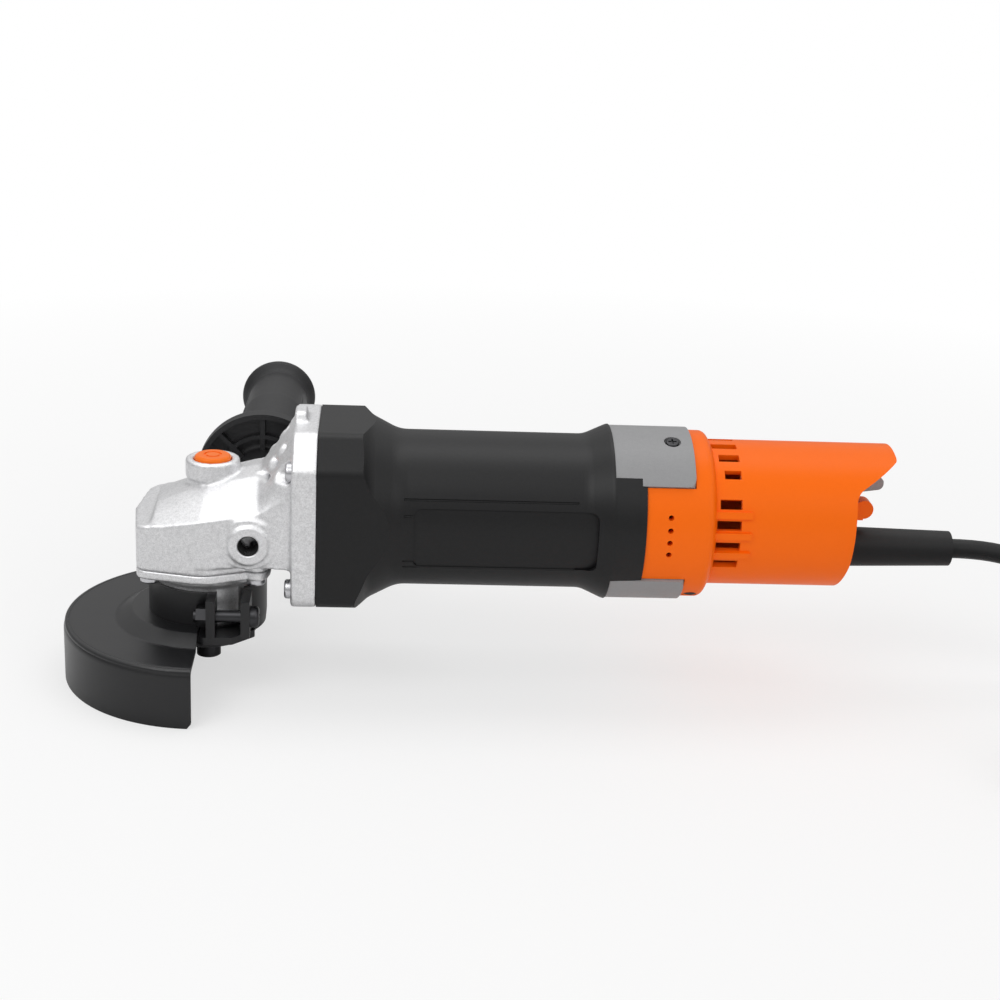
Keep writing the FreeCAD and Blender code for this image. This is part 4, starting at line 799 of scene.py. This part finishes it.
@dataclass
class Lamp:
    """One soft rectangular lamp."""

    name: str
    place: tuple[float, float, float]
    target: tuple[float, float, float]
    width: float
    height: float
    power: float

    def build(self) -> None:
        """Hangs the lamp and turns it to its target."""
        light = bpy.data.lights.new(self.name, "AREA")
        light.shape = "RECTANGLE"
        light.size = self.width
        light.size_y = self.height
        light.energy = self.power
        lamp = bpy.data.objects.new(self.name, light)
        lamp.location = self.place
        direction = Vector(self.target) - Vector(self.place)
        lamp.rotation_euler = direction.to_track_quat("-Z", "Y").to_euler()
        bpy.context.scene.collection.objects.link(lamp)


@dataclass
class Studio:
    """The pale floor, the soft lamps, the white surroundings and the camera."""

    camera_place: tuple[float, float, float] = (0.06613, -0.68002, 0.29621)
    yaw: float = 4.29
    pitch: float = 19.14
    roll: float = 2.77
    lens: float = 64.307
    sensor: float = 36.0
    floor_reach: float = 12.0
    surround: float = 0.5
    gloss_low: float = 0.22
    gloss_high: float = 1.25
    lamps: tuple[Lamp, ...] = (
        Lamp("key_lamp", (-0.55, -0.75, 1.15), (0.08, 0.0, 0.03), 0.9, 0.7, 6.0),
        Lamp("fill_lamp", (1.0, -0.9, 0.75), (0.15, 0.0, 0.03), 1.0, 0.8, 2.6),
        Lamp("top_lamp", (0.15, 0.35, 1.3), (0.12, 0.0, 0.03), 1.4, 0.6, 4.5),
    )

    def camera(self) -> None:
        """Makes the camera and takes it for the scene."""
        data = bpy.data.cameras.new("studio_camera")
        data.sensor_width = self.sensor
        data.lens = self.lens
        data.clip_start = 0.01
        data.clip_end = 50.0
        yaw, pitch, roll = (math.radians(angle) for angle in (self.yaw, self.pitch, self.roll))
        ahead = Vector((math.sin(yaw) * math.cos(pitch), math.cos(yaw) * math.cos(pitch), -math.sin(pitch)))
        level = Vector((math.cos(yaw), -math.sin(yaw), 0.0))
        rise = level.cross(ahead)
        right = math.cos(roll) * level + math.sin(roll) * rise
        up = -math.sin(roll) * level + math.cos(roll) * rise
        camera = bpy.data.objects.new("studio_camera", data)
        turn = Matrix((right, up, -ahead)).transposed()
        camera.matrix_world = Matrix.Translation(self.camera_place) @ turn.to_4x4()
        bpy.context.scene.collection.objects.link(camera)
        bpy.context.scene.camera = camera

    def floor(self) -> None:
        """Lays the pale floor under the guard's rim."""
        reach, level = self.floor_reach, (FLOOR + SEAT_DROP) * MILLIMETRE - 0.0001
        corners = [(-reach, -reach, level), (reach, -reach, level), (reach, reach, level), (-reach, reach, level)]
        floor = new_piece("studio_floor", corners, [(0, 1, 2, 3)], smooth=False)
        material = bpy.data.materials.new("pale_floor")
        material.use_nodes = True
        sheet = NodeSheet(material.node_tree)
        material.node_tree.nodes.clear()
        matt = sheet.add("ShaderNodeBsdfDiffuse", Color=(0.93, 0.93, 0.93, 1.0))
        white = sheet.add("ShaderNodeEmission", Color=(1.0, 1.0, 1.0, 1.0), Strength=1.0)
        place = sheet.add("ShaderNodeNewGeometry").outputs["Position"]
        length = sheet.add("ShaderNodeVectorMath", operation="DISTANCE")
        sheet.feed(length, 0, place)
        sheet.feed(length, 1, (0.16, 0.0, 0.0))
        far = sheet.add("ShaderNodeMapRange", From_Min=0.25, From_Max=0.75, To_Min=0.6, To_Max=1.0)
        sheet.feed(far, "Value", length.outputs["Value"])
        blend = sheet.add("ShaderNodeMixShader")
        sheet.feed(blend, 0, sheet.math("MULTIPLY", self._straight(sheet), far.outputs[0]))
        sheet.feed(blend, 1, matt.outputs[0])
        sheet.feed(blend, 2, white.outputs[0])
        sheet.feed(sheet.add("ShaderNodeOutputMaterial"), "Surface", blend.outputs[0])
        floor.data.materials.append(material)

    @staticmethod
    def _straight(sheet: NodeSheet) -> bpy.types.NodeSocket:
        """Gives 1 for what the camera sees, straight or through a clear piece."""
        path = sheet.add("ShaderNodeLightPath").outputs
        return sheet.math("MAXIMUM", path["Is Camera Ray"], path["Is Transmission Ray"])

    def world(self) -> None:
        """Makes the surroundings: white to look at, gentle as a light, and paler overhead in a gloss."""
        world = bpy.data.worlds.new("studio_surround")
        bpy.context.scene.world = world
        world.use_nodes = True
        sheet = NodeSheet(world.node_tree)
        world.node_tree.nodes.clear()
        way = sheet.add("ShaderNodeSeparateXYZ")
        sheet.feed(way, 0, sheet.add("ShaderNodeTexCoord").outputs["Generated"])
        overhead = sheet.add("ShaderNodeMapRange", From_Min=0.0, From_Max=0.9, To_Min=self.gloss_low,
                             To_Max=self.gloss_high)
        sheet.feed(overhead, "Value", way.outputs["Z"])
        glossy = sheet.add("ShaderNodeMix", data_type="FLOAT")
        sheet.feed(glossy, 0, sheet.add("ShaderNodeLightPath").outputs["Is Glossy Ray"])
        sheet.feed(glossy, 2, self.surround)
        sheet.feed(glossy, 3, overhead.outputs[0])
        strength = sheet.ranged(self._straight(sheet), glossy.outputs[0], 1.0)
        ground = sheet.add("ShaderNodeBackground", Color=(1.0, 1.0, 1.0, 1.0))
        sheet.feed(ground, "Strength", strength)
        sheet.feed(sheet.add("ShaderNodeOutputWorld"), "Surface", ground.outputs[0])

    def build(self) -> None:
        """Makes the whole studio."""
        bpy.context.scene.view_settings.view_transform = "Standard"
        self.camera()
        self.floor()
        self.world()
        for lamp in self.lamps:
            lamp.build()


def corners(box: Sequence[Sequence[float]]) -> list[list[float]]:
    """Writes a box's two corners as plain numbers."""
    return [[float(part) for part in corner] for corner in box]


def main() -> None:
    """Builds the studio, dresses the frame, then builds the lead, the castings, the louvre bars and the handle's thread
    in order.
    """
    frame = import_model()
    logging.basicConfig(level=logging.INFO, format="%(name)s: %(message)s")
    finishes = Finishes()
    shop = Workshop(frame["nodes"], finishes)
    Studio().build()
    FrameDress(shop).build()
    MainsLead(shop).build()
    GearHead(shop).build()
    LouvreBars(shop).build()
    HandleThread(shop).build()


if __name__ == "__main__":
    main()
